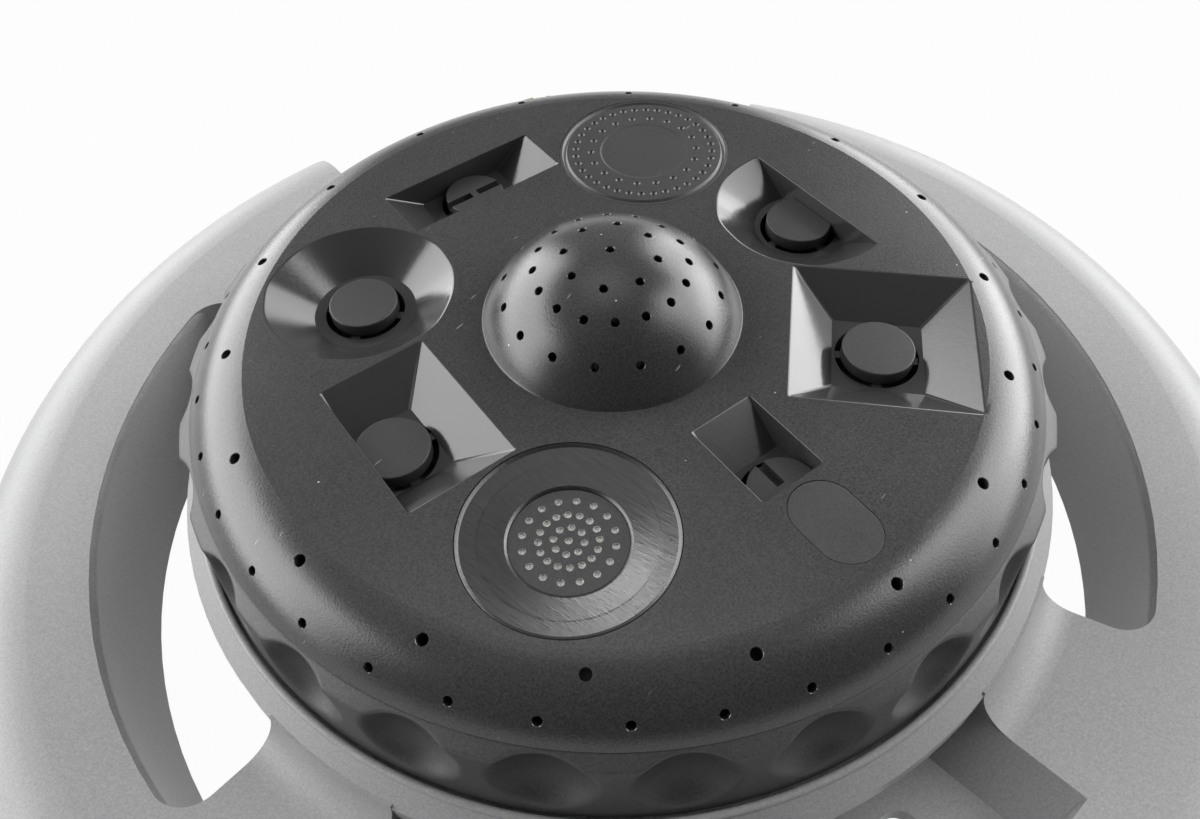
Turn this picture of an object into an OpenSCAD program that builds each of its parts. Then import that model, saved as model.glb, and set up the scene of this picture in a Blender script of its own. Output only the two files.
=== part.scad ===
// Multi-pattern turret sprinkler: a ring base with a hose swivel, and a turning turret with eight
// nozzle stations, a perforated dome and two rows of rim jets.
// Origin: turret axis at ground level. +Z is up, the hose swivel points along +Y.

/* [Turret top] */
// Radius of the flat top face
flat_r = 48; // [46:0.5:54]
// Radius of the rounded rim
rim_arc = 11.5; // [10:0.5:13]
// How far the centre of the rim arc lies inside the edge of the flat
rim_inset = 1.7; // [0.5:0.1:2.5]
// Drop from the flat top to the parting line of the rim
rim_drop = 6.1; // [5.5:0.1:8]
// Wall thickness of the turret shell
skin = 2.4; // [1.8:0.1:3]
// Height of the water chambers inside the turret
chamber_h = 11.6; // [10:0.2:14]
// Thickness of the walls between the chambers
chamber_wall = 1.4; // [1:0.1:2]
// Turn of the turret on its base, as stored
turret_turn = -18.7; // [-22:0.1:22]
// Radius of the circle on which the stations lie
station_r = 34.6; // [34:0.1:36]

/* [Dome and jets] */
// Radius of the dome where it meets the flat top
dome_r = 17.1; // [15:0.1:18]
// Height of the dome
dome_h = 10.9; // [8:0.1:13]
// Diameter of the dome jets
dome_jet_d = 1.1; // [0.8:0.1:1.6]
// Diameter of the upper rim jets
upper_jet_d = 1.4; // [1:0.1:2]
// Diameter of the lower rim jets
lower_jet_d = 1.1; // [0.8:0.1:1.6]
// Upper rim jets in the circle
upper_jets = 18; // [12:1:24]
// Lower rim jets in the circle
lower_jets = 36; // [24:1:48]

/* [Pockets and nozzles] */
// Depth of the nozzle pockets
pocket_depth = 4.1; // [3:0.1:5]
// Sideways run of a sloping pocket wall
pocket_run = 5.8; // [4:0.1:6]
// Wall left round and under a pocket
pocket_wall = 1.8; // [1.4:0.1:2.2]
// Side of the square pocket
square_side = 23.4; // [21:0.1:24]
// Radius of the round pocket
round_r = 12.8; // [12:0.1:13.5]
// Radius of the half-round pocket
half_r = 12.5; // [12:0.1:13]
// Distance from the station circle out to the flat wall of the half-round pocket
half_wall = 2.3; // [1.5:0.1:4]
// Width of the rectangular pocket, across the radius
rectangle_w = 22.4; // [20:0.1:24]
// Length of the rectangular pocket, along the radius
rectangle_l = 13.7; // [12.5:0.1:15]
// Length of the strip pocket, across the radius
strip_l = 25; // [22:0.1:26]
// Width of the strip pocket, along the radius
strip_w = 9.2; // [9:0.1:10]
// Length of the slot pocket, along the radius
slot_pocket_l = 11.5; // [11:0.1:12]
// Radius of a nozzle head
head_r = 4.7; // [4.4:0.1:5]
// Radius of a slotted nozzle head
slotted_head_r = 4.4; // [4:0.1:4.5]
// Thickness of a nozzle head
head_t = 1.9; // [1.4:0.1:2.4]
// Drop from the flat top to the top of a nozzle head
head_drop = 2.4; // [1.8:0.1:3]
// Width of the water gap round a nozzle stem's seat
jet_gap = 0.75; // [0.5:0.05:0.9]
// Width of the slot in a slotted head
head_slot = 1.2; // [0.8:0.1:1.6]
// Radius of a nozzle stem
stem_r = 2.6; // [2:0.1:3]

/* [Shower, mist and inlay] */
// Radius of the shower dish
dish_r = 12.7; // [12:0.1:13]
// Radius of the mist disc
mist_r = 12.8; // [12:0.1:13]
// Thickness of the shower dish and of the mist disc
insert_t = 2.4; // [2:0.1:3]
// Width of the ledge that carries an insert
insert_ledge = 1.6; // [1.2:0.1:2]
// Radius of the perforated shower plate
plate_hole_r = 6.9; // [6:0.1:7.5]
// Thickness of the shower plate
shower_plate_t = 0.7; // [0.5:0.1:1]
// Drop of the dish from its rim to the plate
dish_drop = 0.8; // [0.4:0.1:1.2]
// Diameter of the holes in the shower plate
shower_hole_d = 0.9; // [0.6:0.1:1]
// Diameter of the mist holes
mist_hole_d = 0.7; // [0.5:0.1:0.9]
// Length of the oval inlay, along the radius
inlay_l = 11.7; // [10:0.1:12]
// Width of the oval inlay
inlay_w = 8.1; // [7:0.1:9]
// Thickness of the oval inlay
inlay_t = 1.2; // [0.8:0.1:1.6]
// Distance from the turret axis to the middle of the inlay
inlay_mid_r = 41.1; // [41:0.1:41.6]

/* [Grip ring and port plate] */
// How far the grip ring steps out below the parting line
grip_flare = 1.8; // [1:0.1:2]
// Drop of that step
shoulder_drop = 1.3; // [0.8:0.1:2]
// How much wider the grip ring is at its foot than at its shoulder
grip_spread = 0.3; // [0:0.1:0.6]
// Thickness of the grip ring's wall at the parting line
grip_wall = 3.7; // [3.2:0.1:4.2]
// Finger scallops round the grip ring
scallops = 24; // [18:1:26]
// Radius of the ball that cuts a scallop
scallop_ball = 7.6; // [6:0.1:9]
// Depth of a scallop
scallop_depth = 3.2; // [2:0.1:3.4]
// Drop of the middle of a scallop below the parting line
scallop_drop = 5.3; // [4.5:0.1:6]
// Angle of the first scallop from the square station
scallop_phase = 0.6; // [0:0.1:5]
// Thickness of the ledge that carries the port plate
ledge_t = 3.8; // [2.4:0.1:4]
// Gap between that ledge and the boss of the detent plunger
ledge_gap = 0.7; // [0.5:0.1:1.2]
// Thickness of the port plate
plate_t = 2.8; // [2.2:0.1:3.4]
// Radius of the circle of ports
port_circle_r = 30; // [28:0.1:31]
// Radius of a port
port_r = 3.2; // [2.6:0.1:3.6]
// Section radius of the O-ring round the port plate
rim_seal_r = 0.9; // [0.7:0.05:1]

/* [Pivot] */
// Radius of the pivot sleeve
sleeve_r = 6; // [5:0.1:7]
// Running clearance of the plate on its sleeve
sleeve_gap = 0.06; // [0.03:0.01:0.09]
// Radius of the hub of the port plate
plate_hub_r = 15; // [13:0.1:16]
// Step from the hub's underside up to the plate's underside
plate_hub_drop = 3.75; // [3:0.05:4.5]
// Rise of the plate's hub above the plate
plate_hub_rise = 1.1; // [0.5:0.1:2]
// Thickness of the thrust washer
thrust_t = 0.8; // [0.5:0.1:1.2]
// Radius of the pivot screw's shank
screw_r = 2.5; // [2:0.1:3]
// Radius of the pivot screw's head
screw_head_r = 4.6; // [4:0.1:5]
// Height of the pivot screw's head
screw_head_h = 3; // [2:0.1:4]
// Depth of the screw in the base
screw_depth = 13; // [10:0.5:18]
// Radius of the washer under the screw's head
pivot_washer_r = 10; // [8:0.5:12]
// Thickness of the washer under the screw's head
pivot_washer_t = 1.2; // [1:0.1:2]
// Section radius of the pivot O-ring
pivot_seal_r = 0.9; // [0.7:0.05:1]
// Axial play between parts that turn on each other
axial_gap = 0.05; // [0.03:0.01:0.1]

/* [Base] */
// Height of the ring
ring_h = 22.6; // [20:0.2:25]
// Width of the ring at the ground
ring_w = 25.6; // [23:0.2:30]
// Wall thickness of the casting
cast_t = 3; // [2.4:0.1:3.6]
// Radius of the ring's outer shoulder
ring_arc = 14; // [11:0.5:16]
// Slope of the ring's side walls, sideways
ring_draft = 1.3; // [0.6:0.1:2]
// Width of the opening between the hub and the ring
opening_w = 13.3; // [11:0.1:20]
// Half angle of the gap in the ring at the hose
gap_half = 28.5; // [24:0.5:32]
// Radius of the ring's ends in plan
end_round = 10; // [5:0.5:12]
// Angle from the hose axis to the start of a side opening
side_open_from = 55; // [50:0.5:60]
// Angle from the hose axis to the end of a side opening
side_open_to = 127; // [120:0.5:132]
// Angle from the hose axis to the edge of the raised spoke
spoke_edge = 145; // [140:0.5:147]
// Angle from the hose axis to the start of a front opening
front_open_from = 157; // [154:0.5:158]
// Drop from the spokes to the lower front deck
deck_drop = 5.6; // [4:0.1:7]
// Corner radius of the openings
open_round = 5; // [2:0.5:5.5]
// Radius of the front hump
hump_r = 12.4; // [11:0.1:13]
// Height of the hump at the collar above the ground
hump_top = 30.4; // [28.5:0.1:31.5]
// Height of the floor inside the collar
floor_z = 28; // [26:0.1:30]
// Height of the collar above its floor
collar_h = 2.8; // [2:0.1:4]
// Width of the collar's lip
lip_w = 1; // [0.8:0.1:2]
// Sideways flare of the collar
collar_flare = 2.3; // [1:0.1:3]
// Gap between the turret and the collar
turret_gap = 0.4; // [0.3:0.1:1]
// Radius of the fillet between collar and spokes
collar_fillet = 4.8; // [3:0.1:5]
// Height of the hub's skirt above the ground
skirt_z = 4; // [2:0.5:8]
// Inward slope of the hub's skirt
skirt_taper = 7.3; // [4:0.1:9]
// Radius of the centre foot
foot_r = 14; // [12:0.1:16]
// Rise of the bearing face above the floor
bearing_rise = 0.6; // [0.4:0.1:1.2]
// Thickness of the ribs under the floor
rib_t = 2.4; // [2:0.1:3]
// Depth of the ribs under the floor
rib_h = 12; // [8:0.5:16]

/* [Hose swivel] */
// Height of the hose axis
hose_z = 16.2; // [16:0.1:17]
// Radius of the water bore in the base
bore_r = 6.6; // [5.5:0.1:7]
// Outer radius of the inlet neck
neck_r = 10; // [9.5:0.1:11]
// Outer radius of the tail
tail_r = 6.5; // [6:0.1:6.5]
// Inner radius of the tail
tail_bore_r = 5; // [4:0.1:5.2]
// Radius of the tail's flange
flange_r = 10.5; // [10:0.1:11]
// Thickness of the tail's flange
flange_t = 2; // [1.5:0.1:3]
// Depth of the tail in the neck
tail_depth = 14; // [10:0.5:18]
// Outer radius of the coupling
coupling_r = 15.6; // [15.2:0.1:15.8]
// Length of the coupling
coupling_l = 14.2; // [13:0.1:15]
// Thickness of the coupling's back wall
coupling_back = 2.4; // [2:0.1:3]
// Radius of the bore that stands for the hose thread
thread_r = 12.7; // [12.4:0.1:13]
// Radius of the washer seat in the coupling
washer_seat_r = 13.1; // [12.8:0.1:13.3]
// Thickness of the hose washer
washer_t = 2.5; // [2:0.1:3]
// Radius of the hole in the hose washer
washer_hole_r = 6.2; // [5.5:0.1:7]
// Thickness of the inlet screen
screen_t = 0.6; // [0.4:0.1:1]
// Grip flutes round the coupling
flutes = 16; // [12:1:20]
// Radius of a grip flute
flute_r = 1.5; // [1:0.1:2]
// Running clearance of the coupling on the tail
swivel_gap = 0.08; // [0.04:0.01:0.1]
// Gap between the coupling and the neck
neck_gap = 0.5; // [0.3:0.1:1]

/* [Port seal and detent] */
// Radius of the sprung seal carrier
carrier_r = 8; // [7:0.1:8.5]
// Height of the seal carrier
carrier_h = 10; // [8:0.5:12]
// Running clearance of carrier and plunger in their bores
slide_gap = 0.08; // [0.04:0.01:0.1]
// Height of the rubber port seal
seal_h = 1.8; // [1.2:0.1:2.4]
// Wall of the boss round the seal pocket
boss_wall = 2.4; // [2:0.1:3]
// Depth of the seal pocket below the floor
pocket_floor_drop = 16; // [14.5:0.5:18]
// Wire radius of the seal spring
seal_wire_r = 0.6; // [0.4:0.05:0.8]
// Turns of the seal spring
seal_turns = 4; // [3:1:6]
// Radius of the detent plunger
plunger_r = 2.4; // [2:0.1:2.8]
// Length of the plunger's shank
plunger_l = 6; // [5:0.1:7]
// Radius of the plunger's round tip
tip_r = 1.5; // [1.2:0.1:1.8]
// Distance of the plunger from the turret axis
plunger_circle_r = 42; // [41:0.1:42.5]
// Rise of the plunger from the plate's face into a notch
plunger_lift = 0.9; // [0.6:0.1:1.1]
// Wire radius of the detent spring
detent_wire_r = 0.35; // [0.25:0.05:0.45]
// Turns of the detent spring
detent_turns = 5; // [3:1:7]
// Depth of the detent bore below the floor
detent_drop = 8.5; // [8:0.5:10]

/* [Hidden] */
$fn = 96;

// Small gap that seats one fixed part in another
seat_gap = 0.05;
// Overlap of a cutting tool past the surface that it opens
past = 1;

// Colours of the finishes
charcoal = [0.29, 0.29, 0.30];
dark_insert = [0.25, 0.25, 0.26];
satin_grey = [0.62, 0.62, 0.63];
brass_tone = [0.78, 0.66, 0.38];
steel_tone = [0.72, 0.73, 0.75];
rubber_tone = [0.12, 0.12, 0.12];
acetal_tone = [0.88, 0.88, 0.86];

// Angles of the stations round the turret, in the turret's own frame
square_at = 0;
half_at = 45;
mist_at = 90;
strip_at = 135;
round_at = 180;
rectangle_at = 225;
shower_at = 270;
slot_at = 315;
station_step = 45;
// The dome and the rim row are fed by ports between two stations
dome_port_at = strip_at + station_step / 2;
rim_port_at = rectangle_at + station_step / 2;
port_angles = concat([for (k = [0:7]) k * station_step], [dome_port_at, rim_port_at]);

// Heights of the stack, from the collar's floor up
bearing_z = floor_z + bearing_rise;
plate_hub_z = bearing_z + thrust_t + axial_gap;
plate_z = plate_hub_z + plate_hub_drop;
plate_top = plate_z + plate_t;
plate_hub_top = plate_top + plate_hub_rise;
washer_z = plate_hub_top + 2 * axial_gap;
top_z = plate_top + chamber_h + skin;
parting_z = top_z - rim_drop;
pocket_z = top_z - pocket_depth;
head_top = top_z - head_drop;
grip_z = plate_z - ledge_t;

// Radii of the turret, from the flat top outwards
rim_mid_r = flat_r - rim_inset;
rim_mid_z = top_z - sqrt(rim_arc * rim_arc - rim_inset * rim_inset);
parting_rise = parting_z - rim_mid_z;
parting_r = rim_mid_r + sqrt(rim_arc * rim_arc - parting_rise * parting_rise);
grip_r = parting_r + grip_flare;
grip_in_r = parting_r - grip_wall;
grip_foot_r = grip_r + grip_spread;
plate_r = grip_in_r - 0.1;
dome_ball_r = (dome_r * dome_r + dome_h * dome_h) / (2 * dome_h);
dome_ball_z = top_z + dome_h - dome_ball_r;
centre_wall_r = dome_r + chamber_wall + 0.6;
rim_wall_r = flat_r + 0.4;

// Jets: the angle of a rim jet is measured from the turret axis
upper_jet_tilt = 21.4;
lower_jet_tilt = 46.9;
upper_jet_phase = -5;
lower_jet_phase = 0;
dome_rings = [[8, 18.4, 0], [16, 31.5, 11.25], [16, 48.2, 0]];

// Base radii, from the turret outwards
collar_in_r = grip_foot_r + turret_gap;
collar_r = collar_in_r + lip_w;
hub_r = collar_r + collar_flare;
ring_in_r = hub_r + opening_w;
ring_out_r = ring_in_r + ring_w;
collar_top = floor_z + collar_h;
floor_t = cast_t + 0.2;
deck_z = ring_h - deck_drop;
ring_arc_z = ring_h - ring_arc;
ring_arc_r = ring_out_r - ring_draft - ring_arc;

// The supply bore ends at the seal pocket, which lies under the mist station's port
port_angle = mist_at + turret_turn;
carrier_bore_r = carrier_r + slide_gap;
boss_r = carrier_bore_r + boss_wall;
seal_top = plate_z - axial_gap;
carrier_top = seal_top - seal_h;
carrier_z = carrier_top - carrier_h;
seal_pocket_z = floor_z - pocket_floor_drop;
boss_top = carrier_top - 1;
supply_end = port_circle_r * sin(port_angle) - 3;
plunger_angle = shower_at + turret_turn;
plunger_bore_r = plunger_r + slide_gap;
plunger_boss_r = plunger_bore_r + 1.5;
// The tip stands just under the plate, and rises by the lift into a notch
plunger_top = plate_z - axial_gap - tip_r;
notch_z = plunger_top + plunger_lift;
ledge_in_r = plunger_circle_r + plunger_boss_r + ledge_gap;
plunger_z = plunger_top - plunger_l;
detent_z = floor_z - detent_drop;
notch_r = tip_r + 0.15;

// Swivel, from the neck outwards along +Y
neck_end = hub_r + 0.4;
coupling_y = neck_end + neck_gap;
flange_y = coupling_y + coupling_back + axial_gap;
washer_y = flange_y + flange_t + seat_gap;
thread_y = washer_y + washer_t + 0.2;
coupling_end = coupling_y + coupling_l;

module at_station(angle, radius = 0) {
    rotate([0, 0, turret_turn + angle]) translate([radius, 0, 0]) children();
}

module along_y(y) {
    translate([0, y, hose_z]) rotate([-90, 0, 0]) children();
}

// Flat sector of a ring, between two angles and two radii
module sector(from, to, inner, outer) {
    far = outer * 3;
    mid = (from + to) / 2;
    intersection() {
        difference() {
            circle(r = outer);
            circle(r = inner);
        }
        polygon([[0, 0], far * [cos(from), sin(from)], far * [cos(mid), sin(mid)], far * [cos(to), sin(to)]]);
    }
}

// Well with sloping walls: its top lies at z = 0, the runs are for the sides -x, +x and both y
module tapered_well(x1, x2, half_y, run_in, run_out, run_side, depth) {
    wide = 80;
    intersection() {
        rotate([90, 0, 0]) linear_extrude(height = wide, center = true)
            polygon([[x1, past], [x2, past], [x2, 0], [x2 - run_out, -depth], [x1 + run_in, -depth], [x1, 0]]);
        rotate([90, 0, 90]) linear_extrude(height = 2 * wide, center = true)
            polygon([[-half_y, past], [half_y, past], [half_y, 0], [half_y - run_side, -depth],
                     [-half_y + run_side, -depth], [-half_y, 0]]);
    }
}

// Radial limits of the pockets, measured from the turret axis
square_x = station_r + 0.4;
square_in = square_x - square_side / 2;
square_out = square_x + square_side / 2;
rectangle_out = station_r + 2.6;
rectangle_in = rectangle_out - rectangle_l;
slot_out = station_r - 0.1;
slot_in = slot_out - slot_pocket_l;
slot_half = slotted_head_r + 0.2;
strip_in = station_r - strip_w / 2;
strip_out = station_r + strip_w / 2;
half_out = station_r + half_wall;
// Distance of each nozzle from the turret axis
square_nozzle_x = station_r + 0.3;
half_nozzle_x = station_r - 0.6;
rectangle_nozzle_x = station_r - 1.1;
slot_nozzle_x = station_r - 1.3;
nozzle_floor = pocket_wall + 0.4;
seat_r = head_r + jet_gap;
slotted_seat_r = slotted_head_r + jet_gap;

module pocket_square() {
    tapered_well(square_in, square_out, square_side / 2, pocket_run, pocket_run, pocket_run, pocket_depth);
}

module pocket_rectangle() {
    inner_run = rectangle_nozzle_x - seat_r - 0.4 - rectangle_in;
    tapered_well(rectangle_in, rectangle_out, rectangle_w / 2, inner_run, 0, pocket_run, pocket_depth);
}

module pocket_slot() {
    inner_run = slot_nozzle_x - slotted_seat_r - slot_in;
    tapered_well(slot_in, slot_out, slot_half, inner_run, 0, 0, pocket_depth);
}

module pocket_strip() {
    tapered_well(strip_in, strip_out, strip_l / 2, 0, 0, pocket_run, pocket_depth);
}

module round_well(r) {
    translate([station_r, 0, -pocket_depth]) cylinder(r1 = r - pocket_run, r2 = r, h = pocket_depth);
    translate([station_r, 0, 0]) cylinder(r = r, h = past);
}

module pocket_half() {
    intersection() {
        round_well(half_r);
        translate([0, -station_r, -2 * pocket_depth]) cube([half_out, 2 * station_r, 3 * pocket_depth]);
    }
}

// Walls that hang under the flat top round a pocket
module well_box(x1, x2, half_y) {
    translate([x1 - pocket_wall, -half_y - pocket_wall, pocket_z - nozzle_floor])
        cube([x2 - x1 + 2 * pocket_wall, 2 * (half_y + pocket_wall), pocket_depth + nozzle_floor - 1]);
}

module nozzle_seat(x, r) {
    translate([x, 0, pocket_z - nozzle_floor - past]) cylinder(r = r, h = nozzle_floor + past + 0.01);
}

// Turret shell

// Half section of the rounded top, between the axis and the parting line
module cap_section(inset) {
    intersection() {
        translate([rim_mid_r, rim_mid_z]) circle(r = rim_arc - inset);
        translate([rim_mid_r, parting_z]) square([rim_arc, rim_arc]);
    }
    translate([0, parting_z]) square([rim_mid_r + 0.01, top_z - inset - parting_z]);
}

// Passage from a port of the plate to the middle or the rim; grow gives the outside of its walls
module feed(angle, to_r, grow) {
    half = port_r + 0.6 + grow;
    near = min(port_circle_r - half, to_r);
    far = max(port_circle_r + half, to_r);
    rotate(angle) translate([near, -half]) square([far - near, 2 * half]);
}

module both_feeds(grow, reach) {
    feed(dome_port_at, centre_wall_r - chamber_wall / 2 - reach, grow);
    feed(rim_port_at, rim_wall_r - chamber_wall / 2 + reach, grow);
}

module wall_plan() {
    difference() {
        union() {
            for (outer = [centre_wall_r, rim_wall_r]) difference() {
                circle(r = outer);
                circle(r = outer - chamber_wall);
            }
            for (k = [0:7]) rotate((k + 0.5) * station_step)
                translate([centre_wall_r - 0.5, -chamber_wall / 2])
                    square([rim_wall_r - centre_wall_r, chamber_wall]);
            both_feeds(chamber_wall, 0);
        }
        both_feeds(0, chamber_wall);
    }
}

module shell_walls() {
    translate([0, 0, plate_top + seat_gap])
        linear_extrude(height = top_z - skin / 2 - plate_top - seat_gap) wall_plan();
}

module shell_body() {
    rotate_extrude() difference() {
        cap_section(0);
        translate([0, -0.01]) cap_section(skin);
    }
    shell_walls();
    rotate([0, 0, square_at]) well_box(square_in, square_out, square_side / 2);
    rotate([0, 0, rectangle_at]) well_box(rectangle_in, rectangle_out, rectangle_w / 2);
    rotate([0, 0, slot_at]) well_box(slot_in, slot_out, slot_half);
    rotate([0, 0, strip_at]) well_box(strip_in, strip_out, strip_l / 2);
    for (well = [[half_at, half_r], [round_at, round_r]]) rotate([0, 0, well[0]])
        translate([station_r, 0, pocket_z - nozzle_floor])
            cylinder(r = well[1] + pocket_wall / 2, h = pocket_depth + nozzle_floor - 1);
    for (insert = [[mist_at, mist_r], [shower_at, dish_r]]) rotate([0, 0, insert[0]])
        translate([station_r, 0, top_z - insert_t - pocket_wall])
            cylinder(r = insert[1] + pocket_wall / 2, h = pocket_wall + 1);
    translate([0, 0, dome_ball_z]) intersection() {
        sphere(r = dome_ball_r);
        translate([0, 0, top_z - skin / 2 - dome_ball_z]) cylinder(r = dome_r * 2, h = dome_h * 2);
    }
}

module insert_recess(r) {
    translate([station_r, 0, top_z - insert_t]) cylinder(r = r + seat_gap, h = insert_t + past);
    translate([station_r, 0, top_z - insert_t - pocket_wall - past])
        cylinder(r = r - insert_ledge, h = insert_t + pocket_wall + past);
}

module stadium(length, width, height) {
    run = (length - width) / 2;
    for (side = [-run, run]) translate([side, 0, 0]) cylinder(r = width / 2, h = height);
    translate([-run, -width / 2, 0]) cube([2 * run, width, height]);
}

module rim_jet(tilt, d) {
    translate([rim_mid_r, 0, rim_mid_z]) rotate([0, tilt, 0])
        translate([0, 0, rim_arc - skin - 0.6]) cylinder(d = d, h = skin + 1.2, $fn = 24);
}

module shell_jets() {
    for (k = [0:upper_jets - 1]) rotate([0, 0, upper_jet_phase + k * 360 / upper_jets])
        rim_jet(upper_jet_tilt, upper_jet_d);
    for (k = [0:lower_jets - 1]) rotate([0, 0, lower_jet_phase + k * 360 / lower_jets])
        rim_jet(lower_jet_tilt, lower_jet_d);
    translate([0, 0, dome_ball_z]) {
        for (ring = dome_rings, k = [0:ring[0] - 1])
            rotate([0, ring[1], ring[2] + k * 360 / ring[0]])
                translate([0, 0, dome_ball_r - skin - 0.6]) cylinder(d = dome_jet_d, h = skin + 1.2, $fn = 24);
        translate([0, 0, dome_ball_r - skin - 0.6]) cylinder(d = dome_jet_d, h = skin + 1.2, $fn = 24);
    }
}

module turret_shell() {
    color(charcoal) at_station(0) difference() {
        shell_body();
        translate([0, 0, dome_ball_z]) sphere(r = dome_ball_r - skin);
        translate([0, 0, top_z]) {
            rotate([0, 0, square_at]) pocket_square();
            rotate([0, 0, half_at]) pocket_half();
            rotate([0, 0, strip_at]) pocket_strip();
            rotate([0, 0, round_at]) round_well(round_r);
            rotate([0, 0, rectangle_at]) pocket_rectangle();
            rotate([0, 0, slot_at]) pocket_slot();
        }
        rotate([0, 0, square_at]) nozzle_seat(square_nozzle_x, seat_r);
        rotate([0, 0, half_at]) nozzle_seat(half_nozzle_x, seat_r);
        rotate([0, 0, strip_at]) nozzle_seat(station_r, slotted_seat_r);
        rotate([0, 0, round_at]) nozzle_seat(station_r, seat_r);
        rotate([0, 0, rectangle_at]) nozzle_seat(rectangle_nozzle_x, seat_r);
        rotate([0, 0, slot_at]) nozzle_seat(slot_nozzle_x, slotted_seat_r);
        rotate([0, 0, mist_at]) insert_recess(mist_r);
        rotate([0, 0, shower_at]) insert_recess(dish_r);
        rotate([0, 0, slot_at]) translate([inlay_mid_r, 0, top_z - inlay_t])
            stadium(inlay_l + 2 * seat_gap, inlay_w + 2 * seat_gap, inlay_t + past);
        shell_jets();
    }
}

// Nozzles: a flat head over a ribbed stem that seats in the floor of the pocket

module nozzle(x, r, wall_x, slot_turn = -1) {
    hole = r + jet_gap - seat_gap;
    stem_rib_t = 1.2;
    bridge = 1;
    ribs_z = pocket_z - nozzle_floor;
    head_z = head_top - head_t;
    color(charcoal) difference() {
        translate([x, 0, 0]) {
            translate([0, 0, head_z]) cylinder(r = r, h = head_t);
            translate([0, 0, ribs_z]) cylinder(r = stem_r, h = head_z - ribs_z + 0.1);
            for (turn = [0, 90]) rotate([0, 0, turn]) translate([-hole, -stem_rib_t / 2, ribs_z])
                intersection() {
                    cube([2 * hole, stem_rib_t, head_z - ribs_z - 0.1]);
                    translate([hole, stem_rib_t / 2, 0]) cylinder(r = hole, h = nozzle_floor);
                }
        }
        translate([wall_x - seat_gap, -2 * r, head_z - 0.05]) cube([3 * r, 4 * r, head_t + past]);
        if (slot_turn >= 0) translate([x, 0, head_top - head_t * 0.6]) rotate([0, 0, slot_turn])
            for (side = [0, 180]) rotate([0, 0, side])
                translate([bridge / 2, -head_slot / 2, 0]) cube([2 * r, head_slot, head_t]);
    }
}

module nozzle_square() { at_station(square_at) nozzle(square_nozzle_x, head_r, square_out); }
module nozzle_half_round() { at_station(half_at) nozzle(half_nozzle_x, head_r, half_out); }
module nozzle_strip() { at_station(strip_at) nozzle(station_r, slotted_head_r, strip_out + 1, 90); }
module nozzle_round() { at_station(round_at) nozzle(station_r, head_r, station_r + round_r); }
module nozzle_rectangle() { at_station(rectangle_at) nozzle(rectangle_nozzle_x, head_r, rectangle_out); }
module nozzle_slot() { at_station(slot_at) nozzle(slot_nozzle_x, slotted_head_r, slot_out, 0); }

// Shower station

shower_rings = [[8, 1.77, 0], [16, 3.45, 11.25], [16, 5.33, 0]];

module shower_dish() {
    rim = 0.5;
    bowl_z = top_z - dish_drop;
    plate_seat = bowl_z - shower_plate_t - 0.1;
    color(dark_insert) at_station(shower_at, station_r) rotate_extrude()
        polygon([[plate_hole_r - 1, top_z - insert_t], [dish_r, top_z - insert_t], [dish_r, top_z],
                 [dish_r - rim, top_z], [plate_hole_r + seat_gap, bowl_z],
                 [plate_hole_r + seat_gap, plate_seat], [plate_hole_r - 1, plate_seat]]);
}

module shower_plate() {
    color(dark_insert) at_station(shower_at, station_r)
        translate([0, 0, top_z - dish_drop - shower_plate_t - 0.1]) difference() {
            cylinder(r = plate_hole_r, h = shower_plate_t);
            for (ring = shower_rings, k = [0:ring[0] - 1])
                rotate([0, 0, ring[2] + k * 360 / ring[0]]) translate([ring[1], 0, -past])
                    cylinder(d = shower_hole_d, h = shower_plate_t + 2 * past, $fn = 16);
            translate([0, 0, -past]) cylinder(d = shower_hole_d, h = shower_plate_t + 2 * past, $fn = 16);
        }
}

// Mist station: a disc with two circles of fine holes inside a double rim

mist_rings = [[36, 10.5, 5], [18, 8.1, 0]];

module mist_disc() {
    groove_depth = 0.35;
    groove_w = 0.7;
    web_t = 1;
    color(dark_insert) at_station(mist_at, station_r) difference() {
        translate([0, 0, top_z - insert_t]) cylinder(r = mist_r, h = insert_t);
        translate([0, 0, top_z - groove_depth]) rotate_extrude()
            translate([mist_r - 2 * groove_w, 0]) square([groove_w, past]);
        // The holes go through a thinner web inside the ledge
        translate([0, 0, top_z - insert_t - past])
            cylinder(r = mist_r - insert_ledge, h = insert_t - web_t + past);
        for (ring = mist_rings, k = [0:ring[0] - 1])
            rotate([0, 0, ring[2] + k * 360 / ring[0]]) translate([ring[1], 0, top_z - insert_t])
                cylinder(d = mist_hole_d, h = insert_t + past, $fn = 16);
    }
}

module oval_inlay() {
    color(dark_insert) at_station(slot_at, inlay_mid_r) translate([0, 0, top_z - inlay_t])
        stadium(inlay_l, inlay_w, inlay_t);
}

// Grip ring and port plate

module grip_ring() {
    shoulder_z = parting_z - shoulder_drop;
    foot_bevel = 0.8;
    color(charcoal) at_station(0) difference() {
        rotate_extrude()
            polygon([[grip_in_r, plate_z], [ledge_in_r, plate_z], [ledge_in_r, grip_z],
                     [grip_foot_r - foot_bevel, grip_z], [grip_foot_r, grip_z + foot_bevel],
                     [grip_r, shoulder_z], [parting_r, parting_z - seat_gap],
                     [grip_in_r, parting_z - seat_gap]]);
        for (k = [0:scallops - 1]) rotate([0, 0, scallop_phase + k * 360 / scallops])
            translate([grip_r - scallop_depth + scallop_ball, 0, parting_z - scallop_drop])
                sphere(r = scallop_ball);
    }
}

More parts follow.
